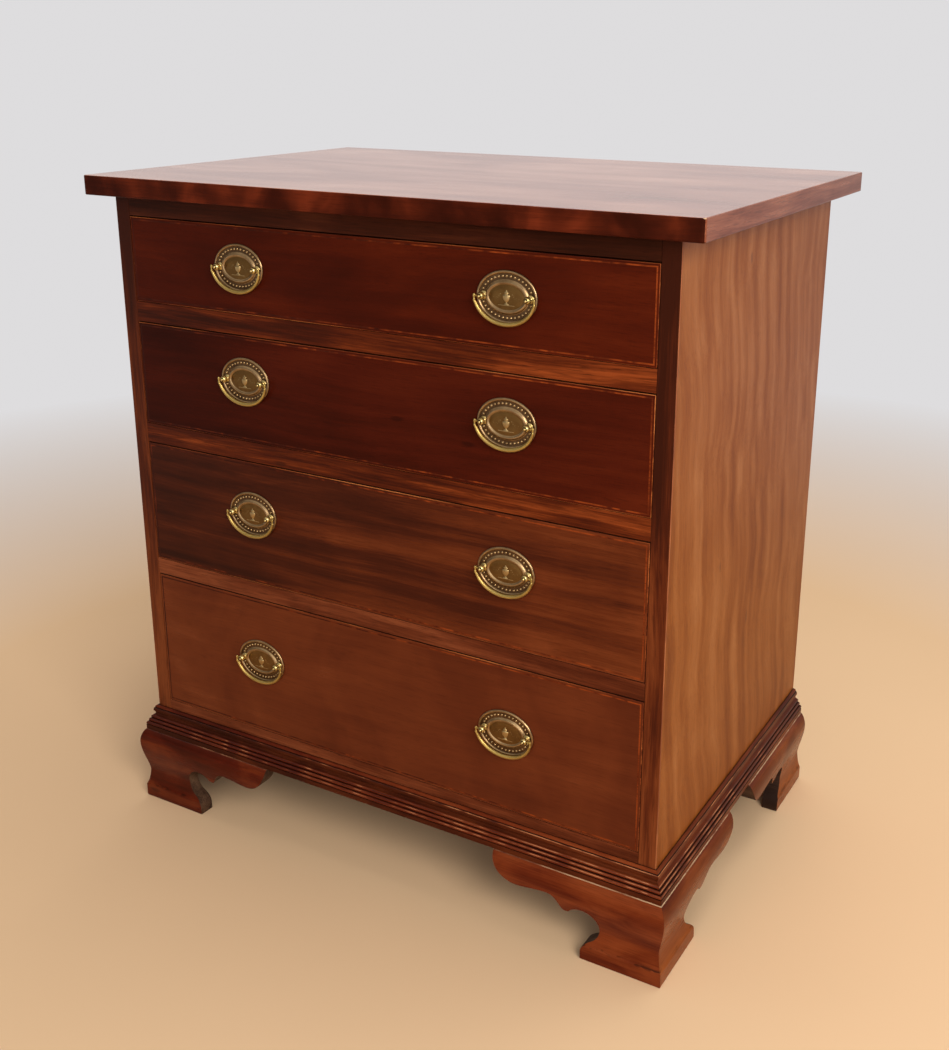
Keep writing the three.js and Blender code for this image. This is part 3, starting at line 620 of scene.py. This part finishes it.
def makeRail(node, finishName):
    piece = copyNode(node)
    giveFinishes(piece, finishName, "sawnEdge")
    paintFaces(piece, 1, lambda face: abs(face.center.y - frontFace) > mm)
    atFront = lieOn(1, frontFace)
    levels = [vert.co.z for vert in piece.data.vertices if abs(vert.co.y - frontFace) < merging["planeSlack"]]
    atBottom, atTop = lieOn(2, min(levels)), lieOn(2, max(levels))
    lengthwise = lambda edge: atFront(edge) and (atBottom(edge) or atTop(edge))
    bevelEdges(piece, lengthwise, carcass["railArris"], 2, 0)
    finish(piece, "carcass", [node])


# Drawer fronts: a string let in round the face

drawerFront = {
    "easing": 0.7 * mm, "stringInset": 2.8 * mm, "stringWidth": 1.7 * mm,
    "leastFace": 100 * mm * mm,  # of the faces in front only the flat one is larger
}


def makeDrawerFront(number):
    s = drawerFront
    node = f"drawer_{number}_front"
    low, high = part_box(node)
    piece = copyNode(node)
    giveFinishes(piece, f"front{number}", "string", "sawnEdge", "frontEdgeHighlight", "oakAcross")
    paintFaces(piece, 4, lambda face: True)
    paintFaces(piece, 2, lambda face: abs(face.normal.y) < 0.5)
    paintFaces(piece, 0, lambda face: abs(face.center.y - low.y) < mm)
    borders = [lieOn(0, low.x), lieOn(0, high.x), lieOn(2, low.z), lieOn(2, high.z)]
    atFront = lieOn(1, low.y)
    onBorder = lambda edge: atFront(edge) and any(border(edge) for border in borders)
    # the eased edge takes the painted highlight
    bevelEdges(piece, onBorder, s["easing"], 3, 3)
    startEdit(piece)
    pick(piece, "faces", lambda face: atFront(face) and face.calc_area() > s["leastFace"])
    bpy.ops.mesh.inset(thickness=s["stringInset"] - s["easing"])
    bpy.ops.mesh.inset(thickness=s["stringWidth"])
    endEdit()
    inset, slack = s["stringInset"] + s["stringWidth"] / 2, s["stringWidth"] / 4

    def isString(face):
        middle = face.center
        sides = [middle.x - low.x, high.x - middle.x, middle.z - low.z, high.z - middle.z]
        inFront = abs(middle.y - low.y) < merging["planeSlack"]
        return inFront and any(abs(side - inset) < slack for side in sides)

    paintFaces(piece, 1, isString)
    finish(piece, f"drawer_{number}", [node])


# Base moulding in three mitred lengths: fillet, three reeds, cove, bead, quirk and cap

baseMoulding = {  # in millimetres and degrees; a pair for an arc is its start and end, up from straight out
    "footHeight": 112, "seam": 0.3, "projection": 14.8, "fillet": 7, "reeds": 3, "reedPitch": 4.75,
    "reedStep": 2.75, "reedArc": (-62, 76), "coveHeight": 6.75, "coveDepth": 2, "coveArc": (240, 105),
    "coveHalfShare": 0.45, "beadHeight": 9, "beadOut": 6.2, "beadArc": (0, 32), "quirk": (3.9, 5.2),
    "cap": (4.3, 3.2), "lip": 7.5, "ledge": 30, "arcSteps": 10, "mitreSeam": 0.3, "spare": 5,
    # where a reed is worn and takes a painted highlight and where it is free of painted shade, how far out
    # the painted shade of the crease against the carcass reaches, and how far above the bead's foot the
    # hollow (painted shade), the bead's worn edge (painted highlight) and the quirk (painted shade) end, with
    # the number of their finish
    "crown": (24, 54), "unshaded": (-38, 70), "creaseShadeOut": 1.6, "bands": ((3.8, 3), (4.75, 2), (5.8, 1)),
}
mouldingWoods = {  # body, grooves in painted shade, worn edges with a painted highlight, and hollow in painted shade
    "front": ("baseAlong", "grooveShade", "ridgeWearAndHighlight", "hollowShade"),
    "side": ("baseAcross", "grooveShadeAcross", "ridgeWearAndHighlightAcross", "baseAcross"),
}
halfWidth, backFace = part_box("right_side")[1].xy


def reedCentre(reed):  # out and up
    s = baseMoulding
    out = s["projection"] - s["reedPitch"] / 2 - reed * s["reedStep"]
    return out, s["footHeight"] + s["fillet"] + (reed + 0.5) * s["reedPitch"]


def beadFoot():
    s = baseMoulding
    return s["footHeight"] + s["fillet"] + s["reeds"] * s["reedPitch"] + s["coveHeight"]


def mouldingSection():  # pairs of out and up, from the inner lower corner
    s = baseMoulding
    seam, steps, radius = s["seam"], s["arcSteps"], s["reedPitch"] / 2
    low, foot = s["footHeight"] + seam, beadFoot()
    coveBottom, top = foot - s["coveHeight"], foot + s["beadHeight"]
    points = [(-s["ledge"], low), (s["projection"], low), (s["projection"], s["footHeight"] + s["fillet"])]
    for reed in range(s["reeds"]):
        points += arcPoints(*reedCentre(reed), radius, radius, *s["reedArc"], steps)
    points.append((points[-1][0], coveBottom))
    coveOut, coveMiddle = seam + s["beadOut"], foot - s["coveHeight"] / 2
    coveHalf = s["coveHeight"] * s["coveHalfShare"]
    points += arcPoints(coveOut, coveMiddle, s["coveDepth"], coveHalf, *s["coveArc"], steps)
    points += arcPoints(seam, foot, s["beadOut"], s["beadHeight"], *s["beadArc"], 4)
    points.append((seam + s["quirk"][0], foot + s["quirk"][1]))
    points += arcPoints(seam, top - s["cap"][1], *s["cap"], 0, 90, 6)
    inner = top - s["lip"] - seam
    return points + [(seam, inner), (-s["ledge"], inner)]


def onFront(out, along, up):  # along runs from the middle to the right
    return (along * mm, frontFace - out * mm, up * mm)


def onSide(hand):  # along runs from the front corner to the back
    return lambda out, along, up: (hand * (halfWidth + out * mm), frontFace + along * mm, up * mm)


def mouldingFinish(out, up):  # painted shade in the grooves and the hollow; worn, with a painted highlight, along the crowns and the bead's edge
    s = baseMoulding
    reed = math.floor((up - s["footHeight"] - s["fillet"]) / s["reedPitch"])
    if 0 <= reed < s["reeds"]:
        centre = reedCentre(reed)
        turn = math.degrees(math.atan2(up - centre[1], out - centre[0]))
        # the crown is worn and takes a painted highlight; beyond the unshaded span the reed takes painted
        # shade
        return 2 if s["crown"][0] < turn < s["crown"][1] else int(not s["unshaded"][0] < turn < s["unshaded"][1])
    # painted shade in the crease against the carcass
    if out < s["creaseShadeOut"]:
        return int(out > -1)
    return next((number for level, number in s["bands"] if up - beadFoot() < level), 0)


def paintMoulding(piece, outOf, woodNames):
    giveFinishes(piece, *woodNames)
    for face in piece.data.polygons:
        face.material_index = mouldingFinish(outOf(face.center) / mm, face.center.z / mm)


def makeMouldings():
    s = baseMoulding
    spare = s["projection"] + s["spare"]
    section = mouldingSection()
    reach = halfWidth / mm + spare
    points = [onFront(out, -reach, up) for out, up in section]
    piece = drawLine("base_moulding_front_finished", points, closed=True)
    extrudeAll(piece, (2 * reach * mm, 0, 0))
    for hand in (-1, 1):
        sawOff(piece, (hand * (halfWidth - s["mitreSeam"] * mm), frontFace, 0), (hand, 1, 0))
    paintMoulding(piece, lambda spot: frontFace - spot.y, mouldingWoods["front"])
    finish(piece, "carcass", ["base_moulding_front"], angle=38)
    for side, hand in hands.items():
        place = onSide(hand)
        name = f"base_moulding_{side}"
        piece = drawLine(name + "_finished", [place(out, -spare, up) for out, up in section], closed=True)
        extrudeAll(piece, (0, backFace - frontFace + spare * mm, 0))
        sawOff(piece, (hand * halfWidth, frontFace, 0), (-hand, -1, 0))
        paintMoulding(piece, lambda spot: abs(spot.x) - halfWidth, mouldingWoods["side"])
        finish(piece, "carcass", [name], angle=38)


# Ogee bracket feet: the section is run along the wall, mitred, and sawn to a scrolled outline

bracketFoot = {  # in millimetres and degrees; shares are the handles of a curve
    "height": 112, "top": 14.8, "belly": (22.8, 91.5), "neck": (14.4, 44.6), "pad": (20, 20.5),
    "padEasing": 0.8, "inset": 3, "length": 235, "spare": 6,
    "bellyShares": (0.58, 0.15, 1, 0.63), "waistShares": (-0.03, 0.33, 0.84, 0.74),
    "ankleShares": (0, 0.32, 0.45, 0.8),
    "padLength": 108.4, "padEdge": 10, "padShares": (0, 0.39, 0.33, 0.73), "padSteps": 8,
    "scroll": (107.5, 47.3), "scrollRadius": 23, "scrollArc": (242, 35), "scrollSteps": 36,
    "cusp": (133, 59.9), "lobe": (155.6, 80), "dip": (201, 75),
    "lobeShares": (0.27, 0.1, 0.35, 1), "dipShares": (0.36, 0, 0.67, 1), "endShares": (0.53, 0, 0.97, 0.46),
    "arris": 0.5, "arrisAngle": 48, "wornArris": 1.2, "sawnFacing": 0.02,
    "blockSize": 26, "blockBite": 3, "blockRise": 8, "seam": 0.3, "rearThickness": 18,
}


def ogeeSection():
    s = bracketFoot
    padOut, padUp = s["pad"]
    easing = s["padEasing"]
    points = bendPoints((s["top"], s["height"]), s["belly"], s["bellyShares"])
    points += bendPoints(s["belly"], s["neck"], s["waistShares"])[1:]
    points += bendPoints(s["neck"], (padOut - easing, padUp), s["ankleShares"])[1:]
    points += [(padOut, padUp - 2 * easing), (padOut, 2 * easing), (padOut - easing, 0)]
    return points + [(-s["inset"], 0), (-s["inset"], s["height"])]


def scrollOutline(start):
    s = bracketFoot
    high, wide = s["height"] + s["spare"], -s["belly"][0] - s["spare"]
    scroll = arcPoints(*s["scroll"], s["scrollRadius"], s["scrollRadius"], *s["scrollArc"], s["scrollSteps"])
    points = [(wide, -s["spare"]), (s["padLength"], -s["spare"])]
    points += bendPoints((s["padLength"], s["padEdge"]), scroll[0], s["padShares"], s["padSteps"])
    points += scroll[1:]
    points += bendPoints(s["cusp"], s["lobe"], s["lobeShares"])
    points += bendPoints(s["lobe"], s["dip"], s["dipShares"])[1:]
    points += bendPoints(s["dip"], (s["length"], s["height"]), s["endShares"])[1:]
    points += [(s["length"], high), (wide, high)]
    return [(along + start, up) for along, up in points]


def unite(piece, other, operation):
    useModifier(piece, "BOOLEAN", object=other, operation=operation, solver="EXACT")
    bpy.data.objects.remove(other)


def makeBracket(node, place, mitre, block, woodName):  # place turns out, along and up into X, Y and Z
    s = bracketFoot
    start = -s["pad"][0] if mitre else 0
    near = -s["belly"][0] - s["spare"] if mitre else 0
    far = s["length"] + s["spare"]
    inner = -s["inset"] - s["spare"]
    at = lambda *values: Vector(place(*values))
    corner = at(0, 0, 0)
    piece = drawLine(node + "_finished", [at(out, near, up) for out, up in ogeeSection()], closed=True)
    extrudeAll(piece, at(0, far, 0) - at(0, near, 0))
    giveFinishes(piece, woodName, "bareWood", "wornEdgeHighlight")
    if mitre:
        sawOff(piece, corner, 2 * corner - at(1, 0, 0) - at(0, 1, 0))
    outline = [at(inner, along, up) for along, up in scrollOutline(start)]
    cutter = drawLine("scrollCutter", outline, closed=True)
    extrudeAll(cutter, at(s["belly"][0] + s["spare"], 0, 0) - at(inner, 0, 0))
    unite(piece, cutter, "INTERSECT")
    weld(piece, merging["sawnGap"])
    outward = (at(1, 0, 0) - corner).normalized()
    paintFaces(piece, 1, lambda face: abs(outward.dot(face.normal)) < s["sawnFacing"])
    atTop = lieOn(2, s["height"] * mm)
    outside = lambda vert: outward.dot(vert.co - corner) / mm > s["inset"]
    isWornAndHighlit = lambda edge: atTop(edge) and all(outside(vert) for vert in edge.verts)
    # the outer top arris is worn and takes the painted highlight
    bevelEdges(piece, isWornAndHighlit, s["wornArris"] * mm, 2, 2)
    useModifier(piece, "BEVEL", width=s["arris"] * mm, segments=2, limit_method="ANGLE",
                angle_limit=math.radians(s["arrisAngle"]), use_clamp_overlap=False)
    if block:
        unite(piece, addBlock("cornerBlock", *block), "UNION")
    finish(piece, "carcass", [node], 40)


def cornerBlock(hand, near, far):  # lowest and highest corner of the block glued behind a side bracket
    s = bracketFoot
    inner = halfWidth - (s["inset"] + s["blockSize"]) * mm
    outer = halfWidth - (s["inset"] - s["blockBite"]) * mm
    xs = sorted((hand * inner, hand * outer))
    return ((xs[0], near, s["blockRise"] * mm), (xs[1], far, s["height"] * mm))


def makeFeet():
    s = bracketFoot
    size = s["blockSize"] * mm
    near = frontFace + (s["inset"] + s["seam"]) * mm
    far = backFace - (s["rearThickness"] + s["seam"]) * mm
    for side, hand in hands.items():
        frontBlock, backBlock = cornerBlock(hand, near, near + size), cornerBlock(hand, far - size, far)
        fromCorner = lambda out, along, up: (hand * (halfWidth - along * mm), frontFace - out * mm, up * mm)
        fromBack = lambda out, along, up: (hand * (halfWidth + out * mm), backFace - along * mm, up * mm)
        makeBracket(f"front_{side}_foot_front", fromCorner, True, None, "baseAlong")
        makeBracket(f"front_{side}_foot_side", onSide(hand), True, frontBlock, "baseAcross")
        makeBracket(f"back_{side}_foot_side", fromBack, False, backBlock, "baseAcross")


# Handles: a stamped oval plate with posts, and a bail that swings between them

plate = {
    "halfWidth": 39, "halfHeight": 30.5, "sides": 96, "lift": 0.3,  # all in millimetres
    # how far in from the edge and how far out from the drawer each turn of the section lies
    "section": [(0, 1.1), (0.25, 1.75), (0.75, 2.3), (1.35, 2.6), (2.0, 2.6), (2.7, 2.3), (3.2, 1.8),
                (3.6, 1.35), (4.3, 1.1), (9.4, 1.1), (10.4, 1.2), (11.0, 1.5), (11.6, 2.1), (12.4, 2.75),
                (13.2, 3.1), (14.2, 3.05), (15.1, 2.7), (15.7, 2.2), (16.1, 1.95), (17.2, 2.0),
                (19.5, 2.38), (22.0, 2.5)],
    "borders": (3.3, 10.6, 16.3),  # insets at which the trough, the inner ring and the medallion begin
    "beads": 34, "beadInset": 6.8, "beadRadius": 1.65, "beadOut": 0.95, "beadCut": 0.9, "postClear": 6.4,
}
post = {
    "spacing": 59.6,
    # radius and distance out from the drawer, from the flange to the button
    "section": [(0, 1.0), (5.0, 1.0), (5.0, 1.6), (4.4, 2.2), (3.0, 2.6), (2.3, 3.1), (2.1, 3.7), (2.3, 4.25),
                (3.25, 5.0), (4.0, 5.95), (4.45, 7.05), (4.6, 8.25), (4.45, 9.45), (4.0, 10.55), (3.35, 11.4),
                (2.75, 11.9), (2.5, 11.7), (1.95, 11.6), (1.8, 11.8), (1.75, 12.6), (1.5, 13.2), (1.0, 13.6),
                (0.45, 13.8), (0, 13.83)],
    "steps": 28, "boreRadius": 1.35, "boreLength": 14, "darkRing": (1.76, 2.7), "darkFrom": 11,
}
urn = {  # a footed urn in low relief: radius and height of its section, in millimetres
    "section": [(0, -8.4), (3.4, -8.4), (3.4, -7.7), (2.2, -7.2), (1.0, -6.3), (0.9, -5.4), (2.0, -4.6),
                (3.6, -3.0), (4.5, -0.6), (4.8, 1.4), (4.4, 2.6), (3.0, 3.1), (2.1, 3.6), (2.2, 4.2),
                (3.1, 4.6), (2.9, 5.2), (1.6, 6.2), (0.7, 6.8), (0.95, 7.5), (0.6, 8.2), (0, 8.5)],
    "steps": 24, "flatness": 0.34, "out": 2.35, "ear": (5.4, 2.2), "earRadius": 1.5, "earWire": 0.38,
    "husks": 6, "huskStart": (7.6, 3.4), "huskEnd": (16.2, -2.2), "huskSag": 2.2, "huskSize": (1.15, 0.62),
    "huskShrink": 0.35, "berrySize": (0.45, 0.6, 0.45), "berryUp": 1.7,
    "groundHalf": 10.5, "groundUp": -9.1, "groundThick": 0.7, "groundDepth": 2.2, "groundEasing": 0.2,
}
bail = {
    "halfWidth": 38.3, "drop": 30.2, "out": 8.25, "lean": 2.6, "bow": 2.65, "end": 1.6,
    "steps": 56, "firstStep": 5, "bowSides": 20, "pinSides": 16,
    # height and radius of the upright ends, from the tip down to the collar
    "tip": [(2.2, 0.5), (2.0, 1.0), (1.5, 1.4), (0.8, 1.55), (-0.8, 1.55), (-1.4, 1.3), (-3.4, 1.2),
            (-3.9, 1.3), (-4.2, 1.6), (-5.2, 1.65), (-5.6, 1.5)],
    "pinRadius": 1.0, "pinReach": 3, "shoulderRadius": 1.5, "shoulderLength": 1.2, "shoulderInset": 2.6,
}


def turnOnLathe(name, points, centre, axis, steps):
    piece = drawLine(name, points)
    startEdit(piece)
    bpy.ops.mesh.spin(steps=steps, angle=2 * math.pi, center=centre, axis=axis)
    bpy.ops.mesh.select_all(action="SELECT")
    bpy.ops.mesh.remove_doubles(threshold=merging["turnedGap"])
    faceOutwards()
    endEdit()
    return piece


def addRod(name, across, radius, length):  # lies along X at the height of the bail's pins
    deselectAll()
    bpy.ops.mesh.primitive_cylinder_add(vertices=bail["pinSides"], radius=radius * mm, depth=length * mm,
                                        location=(across, -bail["out"] * mm, 0), rotation=(0, math.pi / 2, 0))
    rod = nameNew(name)
    applyPlace(rod)
    return rod


def joinAll(pieces):
    deselectAll()
    for piece in pieces:
        piece.select_set(True)
    bpy.context.view_layer.objects.active = pieces[0]
    bpy.ops.object.join()
    return pieces[0]


def ovalPlaces(halfAcross, halfUp, count):  # evenly spaced round an oval
    fine = [2 * math.pi * step / 720 for step in range(721)]
    spots = [Vector((halfAcross * math.cos(turn), 0, halfUp * math.sin(turn))) for turn in fine]
    lengths = [0.0]
    for here, there in zip(spots, spots[1:]):
        lengths.append(lengths[-1] + (there - here).length)
    wanted = [lengths[-1] * (step + 0.5) / count for step in range(count)]
    return [spots[next(i for i, length in enumerate(lengths) if length >= value)] for value in wanted]


def addBall(name, place, size, segments=10, rings=8):
    deselectAll()
    bpy.ops.mesh.primitive_uv_sphere_add(segments=segments, ring_count=rings, radius=mm, location=place)
    piece = nameNew(name)
    bpy.ops.transform.resize(value=size, center_override=place)
    applyPlace(piece)
    return piece


def makePlateBody():
    s = plate
    deselectAll()
    place = (0, -s["lift"] * mm, 0)
    bpy.ops.mesh.primitive_circle_add(vertices=s["sides"], radius=mm, fill_type="NGON", location=place,
                                      rotation=(math.pi / 2, 0, 0))
    piece = nameNew("plateMaster")
    bpy.ops.transform.resize(value=(s["halfWidth"], 1, s["halfHeight"]), center_override=place)
    applyPlace(piece)
    startEdit(piece)
    inset, out = s["section"][0]
    bpy.ops.mesh.extrude_region_move(TRANSFORM_OT_translate={"value": (0, (s["lift"] - out) * mm, 0)})
    for nextInset, nextOut in s["section"][1:]:
        bpy.ops.mesh.inset(thickness=(nextInset - inset) * mm, depth=(nextOut - out) * mm)
        inset, out = nextInset, nextOut
    faceOutwards()
    endEdit()
    giveFinishes(piece, "rim", "trough", "medallion")

    def within(inset):
        across, up = (s["halfWidth"] - inset) * mm, (s["halfHeight"] - inset) * mm
        return lambda face: math.hypot(face.center.x / across, face.center.z / up) < 1

    for slot, border in zip((1, 0, 2), s["borders"]):
        paintFaces(piece, slot, within(border))
    return piece


def makeBeads():
    s = plate
    bead = addBall("beadMaster", (0, -s["beadOut"] * mm, 0), [s["beadRadius"]] * 3)
    giveFinishes(bead, "bead")
    sawOff(bead, (0, -s["beadCut"] * mm, 0), (0, 1, 0))
    across, up = [(half - s["beadInset"]) * mm for half in (s["halfWidth"], s["halfHeight"])]
    posts = [Vector((hand * post["spacing"] / 2 * mm, 0, 0)) for hand in (-1, 1)]
    beads = []
    for place in ovalPlaces(across, up, s["beads"]):
        if min((place - spot).length for spot in posts) > s["postClear"] * mm:
            beads.append(copyTo(bead, "bead", place))
    bpy.data.objects.remove(bead)
    return beads


def makePost(hand):
    across = hand * post["spacing"] / 2 * mm
    points = [(across + radius * mm, -out * mm, 0) for radius, out in post["section"]]
    piece = turnOnLathe("post", points, (across, 0, 0), (0, 1, 0), post["steps"])
    unite(piece, addRod("bore", across, post["boreRadius"], post["boreLength"]), "DIFFERENCE")
    giveFinishes(piece, "post", "trough")
    ringLow, ringHigh = [radius * mm for radius in post["darkRing"]]
    inRing = lambda face: ringLow < math.hypot(face.center.x - across, face.center.z) < ringHigh
    paintFaces(piece, 1, lambda face: inRing(face) and -face.center.y > post["darkFrom"] * mm)
    return piece


def makeUrn():
    s = urn
    line = [(radius * mm, 0, up * mm) for radius, up in s["section"]]
    parts = [turnOnLathe("urn", line, (0, 0, 0), (0, 0, 1), s["steps"])]
    for hand in (-1, 1):
        deselectAll()
        place = (hand * s["ear"][0] * mm, 0, s["ear"][1] * mm)
        bpy.ops.mesh.primitive_torus_add(
            major_segments=20, minor_segments=8, major_radius=s["earRadius"] * mm,
            minor_radius=s["earWire"] * mm, rotation=(math.pi / 2, 0, 0), location=place)
        ear = nameNew("urnEar")
        applyPlace(ear)
        parts.append(ear)
        for step in range(s["husks"]):
            share = step / (s["husks"] - 1)
            x, z = [a + (b - a) * share for a, b in zip(s["huskStart"], s["huskEnd"])]
            z -= s["huskSag"] * math.sin(math.pi * share)
            long, thick = [size * (1 - s["huskShrink"] * share) for size in s["huskSize"]]
            parts.append(addBall("husk", (hand * x * mm, 0, z * mm), (long, thick, thick), 8, 6))
            if step % 2:
                place = (hand * x * mm, 0, (z + s["berryUp"]) * mm)
                parts.append(addBall("berry", place, s["berrySize"], 8, 6))
    thick = s["groundThick"] / 2 * mm
    corner = Vector((s["groundHalf"] * mm, s["groundDepth"] * thick, thick))
    middle = Vector((0, 0, s["groundUp"] * mm))
    ground = addBlock("groundLine", middle - corner, middle + corner)
    useModifier(ground, "BEVEL", width=s["groundEasing"] * mm, segments=2)
    relief = joinAll(parts + [ground])
    giveFinishes(relief, "relief")
    makeActive(relief)
    bpy.ops.transform.resize(value=(1, s["flatness"], 1), center_override=(0, 0, 0))
    bpy.ops.transform.translate(value=(0, -s["out"] * mm, 0))
    applyPlace(relief)
    return relief


def makePlateMaster():
    return joinAll([makePlateBody(), makePost(-1), makePost(1), makeUrn()] + makeBeads())


def makeBailMaster():
    s = bail
    line = [(s["halfWidth"], s["out"], up, radius) for up, radius in s["tip"]]
    for step in range(s["firstStep"], s["steps"] - s["firstStep"] + 1):
        turn = math.pi * step / s["steps"]
        swell = math.sin(turn)
        radius = s["end"] + (s["bow"] - s["end"]) * swell
        across, out, up = s["halfWidth"] * math.cos(turn), s["out"] - s["lean"] * swell, -s["drop"] * swell
        line.append((across, out, up, radius))
    line += [(-s["halfWidth"], s["out"], up, radius) for up, radius in reversed(s["tip"])]
    curve = bpy.data.curves.new("bailLine", "CURVE")
    curve.dimensions = "3D"
    curve.bevel_depth = mm
    curve.bevel_resolution = s["bowSides"] // 4
    curve.use_fill_caps = True
    spline = curve.splines.new("POLY")
    spline.points.add(len(line) - 1)
    for point, (across, out, up, radius) in zip(spline.points, line):
        point.co = (across * mm, -out * mm, up * mm, 1)
        point.radius = radius
    makeActive(addPiece("bailMaster", curve))
    bpy.ops.object.convert(target="MESH")
    bow = bpy.context.object
    weld(bow, merging["turnedGap"])
    parts = [bow]
    tip = post["spacing"] / 2 - s["pinReach"]
    shoulder = s["halfWidth"] - s["shoulderInset"]
    pin = (s["pinRadius"], tip, s["halfWidth"])
    collar = (s["shoulderRadius"], shoulder, shoulder + s["shoulderLength"])
    for hand in (-1, 1):
        for radius, near, far in (pin, collar):
            parts.append(addRod("pin", hand * (near + far) / 2 * mm, radius, far - near))
    whole = joinAll(parts)
    giveFinishes(whole, "bail")
    return whole


def hang(master, node, body, centre):
    piece = copyTo(master, node + "_finished", centre)
    finish(piece, body, [node], angle=50)


def makeHandles():
    plateMaster, bailMaster = makePlateMaster(), makeBailMaster()
    for number in range(1, 5):
        for side in ("left", "right"):
            node = f"drawer_{number}_{side}"
            low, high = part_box(node + "_plate")
            centre = ((low.x + high.x) / 2, frontFace, (low.z + high.z) / 2)
            hang(plateMaster, node + "_plate", f"drawer_{number}", centre)
            hang(bailMaster, node + "_bail", f"drawer_{number}_{side}_bail", centre)
    bpy.data.objects.remove(plateMaster)
    bpy.data.objects.remove(bailMaster)


makeTop()
for side, hand in hands.items():
    makeSide(side + "_side", hand)
makeRail("top_rail", "shadedTopRail")
for node in ("divider_rail_1", "divider_rail_2"):
    makeRail(node, "rail")
for node in ("divider_rail_3", "bottom_board"):
    makeRail(node, "lowRail")
print("top and carcass made")
for number in (1, 2, 3, 4):
    makeDrawerFront(number)
print("drawer fronts made")
makeMouldings()
makeFeet()
print("base made")
makeHandles()
print("handles made")


# Floor, light and camera

room = {
    "floorSize": 40, "floorColour": (232, 193, 150), "backdrop": (0.73, 0.72, 0.73, 1),
    "ambient": (0.30, 0.30, 0.31, 1), "floorDrop": 0.1 * mm, "floorShade": 0.96, "floorScale": (3, 3),
    "floorPolish": (0.85, 0.1), "fadeStart": 1.0, "fadeEnd": 2.6,
    # how bright the polish sees the room in front, behind and above, and between which directions it changes
    "frontGloss": 0.06, "backGloss": 0.86, "highGloss": 0.7, "behind": (-0.1, 0.5), "above": (0.1, 0.6),
}


def mirrorRays(rays):
    return math2("MAXIMUM", rays["Is Glossy Ray"], rays["Is Transmission Ray"])


def addFloor():  # lit and shadowed near the chest, and fading into the backdrop's colour further out
    s = room
    deselectAll()
    bpy.ops.mesh.primitive_plane_add(size=s["floorSize"], location=(0, 0, -s["floorDrop"]))
    floor = nameNew("floor")
    applyPlace(floor)
    material, tree, shader = newMaterial("paleFloor")
    place = addNode(tree, "TexCoord").outputs["Object"]
    colour = screenColour(s["floorColour"])
    darker = [s["floorShade"] * part for part in colour[:3]] + [1]
    rough, specular = s["floorPolish"]
    floorColour = mixColour(noise(place, s["floorScale"]), darker, colour)
    feed(shader, {"Base Color": floorColour, "Roughness": rough, "Specular IOR Level": specular})
    away = addNode(tree, "VectorMath", {0: place}, operation="LENGTH").outputs["Value"]
    fade = mapRange(away, s["fadeStart"], s["fadeEnd"], 0, 1)
    rays = addNode(tree, "LightPath").outputs
    seen = math2("MAXIMUM", rays["Is Camera Ray"], mirrorRays(rays))
    far = addNode(tree, "Emission", {"Color": s["backdrop"], "Strength": 1})
    blend = {0: math2("MULTIPLY", fade, seen), 1: shader.outputs[0], 2: far.outputs[0]}
    feed(tree.nodes["Material Output"], {"Surface": addNode(tree, "MixShader", blend).outputs[0]})
    floor.data.materials.append(material)


def setWorld():  # a pale backdrop, with a dark room in front of the chest for its polish to reflect
    world = bpy.data.worlds.new("paleRoom")
    bpy.context.scene.world = world
    world.use_nodes = True
    tree = world.node_tree
    axes = addNode(tree, "SeparateXYZ", {0: addNode(tree, "TexCoord").outputs["Generated"]}).outputs
    behind = mapRange(axes["Y"], *room["behind"], room["frontGloss"], room["backGloss"])
    above = mapRange(axes["Z"], *room["above"], room["frontGloss"], room["highGloss"])
    shiny = mixColour(math2("MAXIMUM", behind, above), (0, 0, 0, 1), (1, 1, 1, 1))
    rays = addNode(tree, "LightPath").outputs
    seen = mixColour(mirrorRays(rays), room["ambient"], shiny)
    feed(tree.nodes["Background"], {"Color": mixColour(rays["Is Camera Ray"], seen, room["backdrop"])})


lamps = {  # where each stands, what it is aimed at, its size in metres and its power in watts
    "key": ((2.0, -1.7, 1.8), (0.1, 0, 0.4), 1.3, 58),
    "fill": ((0.5, -3.2, 1.1), (0, 0, 0.3), 2.4, 26),
    "overhead": ((0.2, 0.7, 3.0), (0, 0, 0.9), 2.6, 50),
}


def addLamps():
    for name, (place, target, size, power) in lamps.items():
        deselectAll()
        bpy.ops.object.light_add(type="AREA", location=place)
        lamp = nameNew(name)
        lamp.data.shape = "SQUARE"
        lamp.data.size = size
        lamp.data.energy = power
        lamp.rotation_euler = (Vector(target) - Vector(place)).to_track_quat("-Z", "Y").to_euler()


photoCamera = {
    "place": (0.89247, -1.48666, 1.08111), "yaw": 0.52218, "pitch": -0.30337, "roll": 0.00244,
    "photoHeight": 1050, "focalPixels": 1279.84, "sensorWidth": 36,
    "axisRight": 29.11, "axisDown": -76.02,  # pixels from the middle of the picture to the optical axis
}


def addCamera():
    s = photoCamera
    deselectAll()
    bpy.ops.object.camera_add(location=s["place"])
    camera = nameNew("photoCamera")
    turn = Matrix.Rotation(s["yaw"], 4, "Z") @ Matrix.Rotation(math.pi / 2 + s["pitch"], 4, "X")
    turn = turn @ Matrix.Rotation(s["roll"], 4, "Z")
    camera.rotation_euler = turn.to_euler()
    camera.data.sensor_width = s["sensorWidth"]
    camera.data.lens = s["sensorWidth"] * s["focalPixels"] / s["photoHeight"]
    camera.data.shift_x = -s["axisRight"] / s["photoHeight"]
    camera.data.shift_y = s["axisDown"] / s["photoHeight"]
    bpy.context.scene.camera = camera


addFloor()
setWorld()
addLamps()
addCamera()
bpy.context.scene.view_settings.view_transform = "Standard"
print("floor, lamps and camera placed")
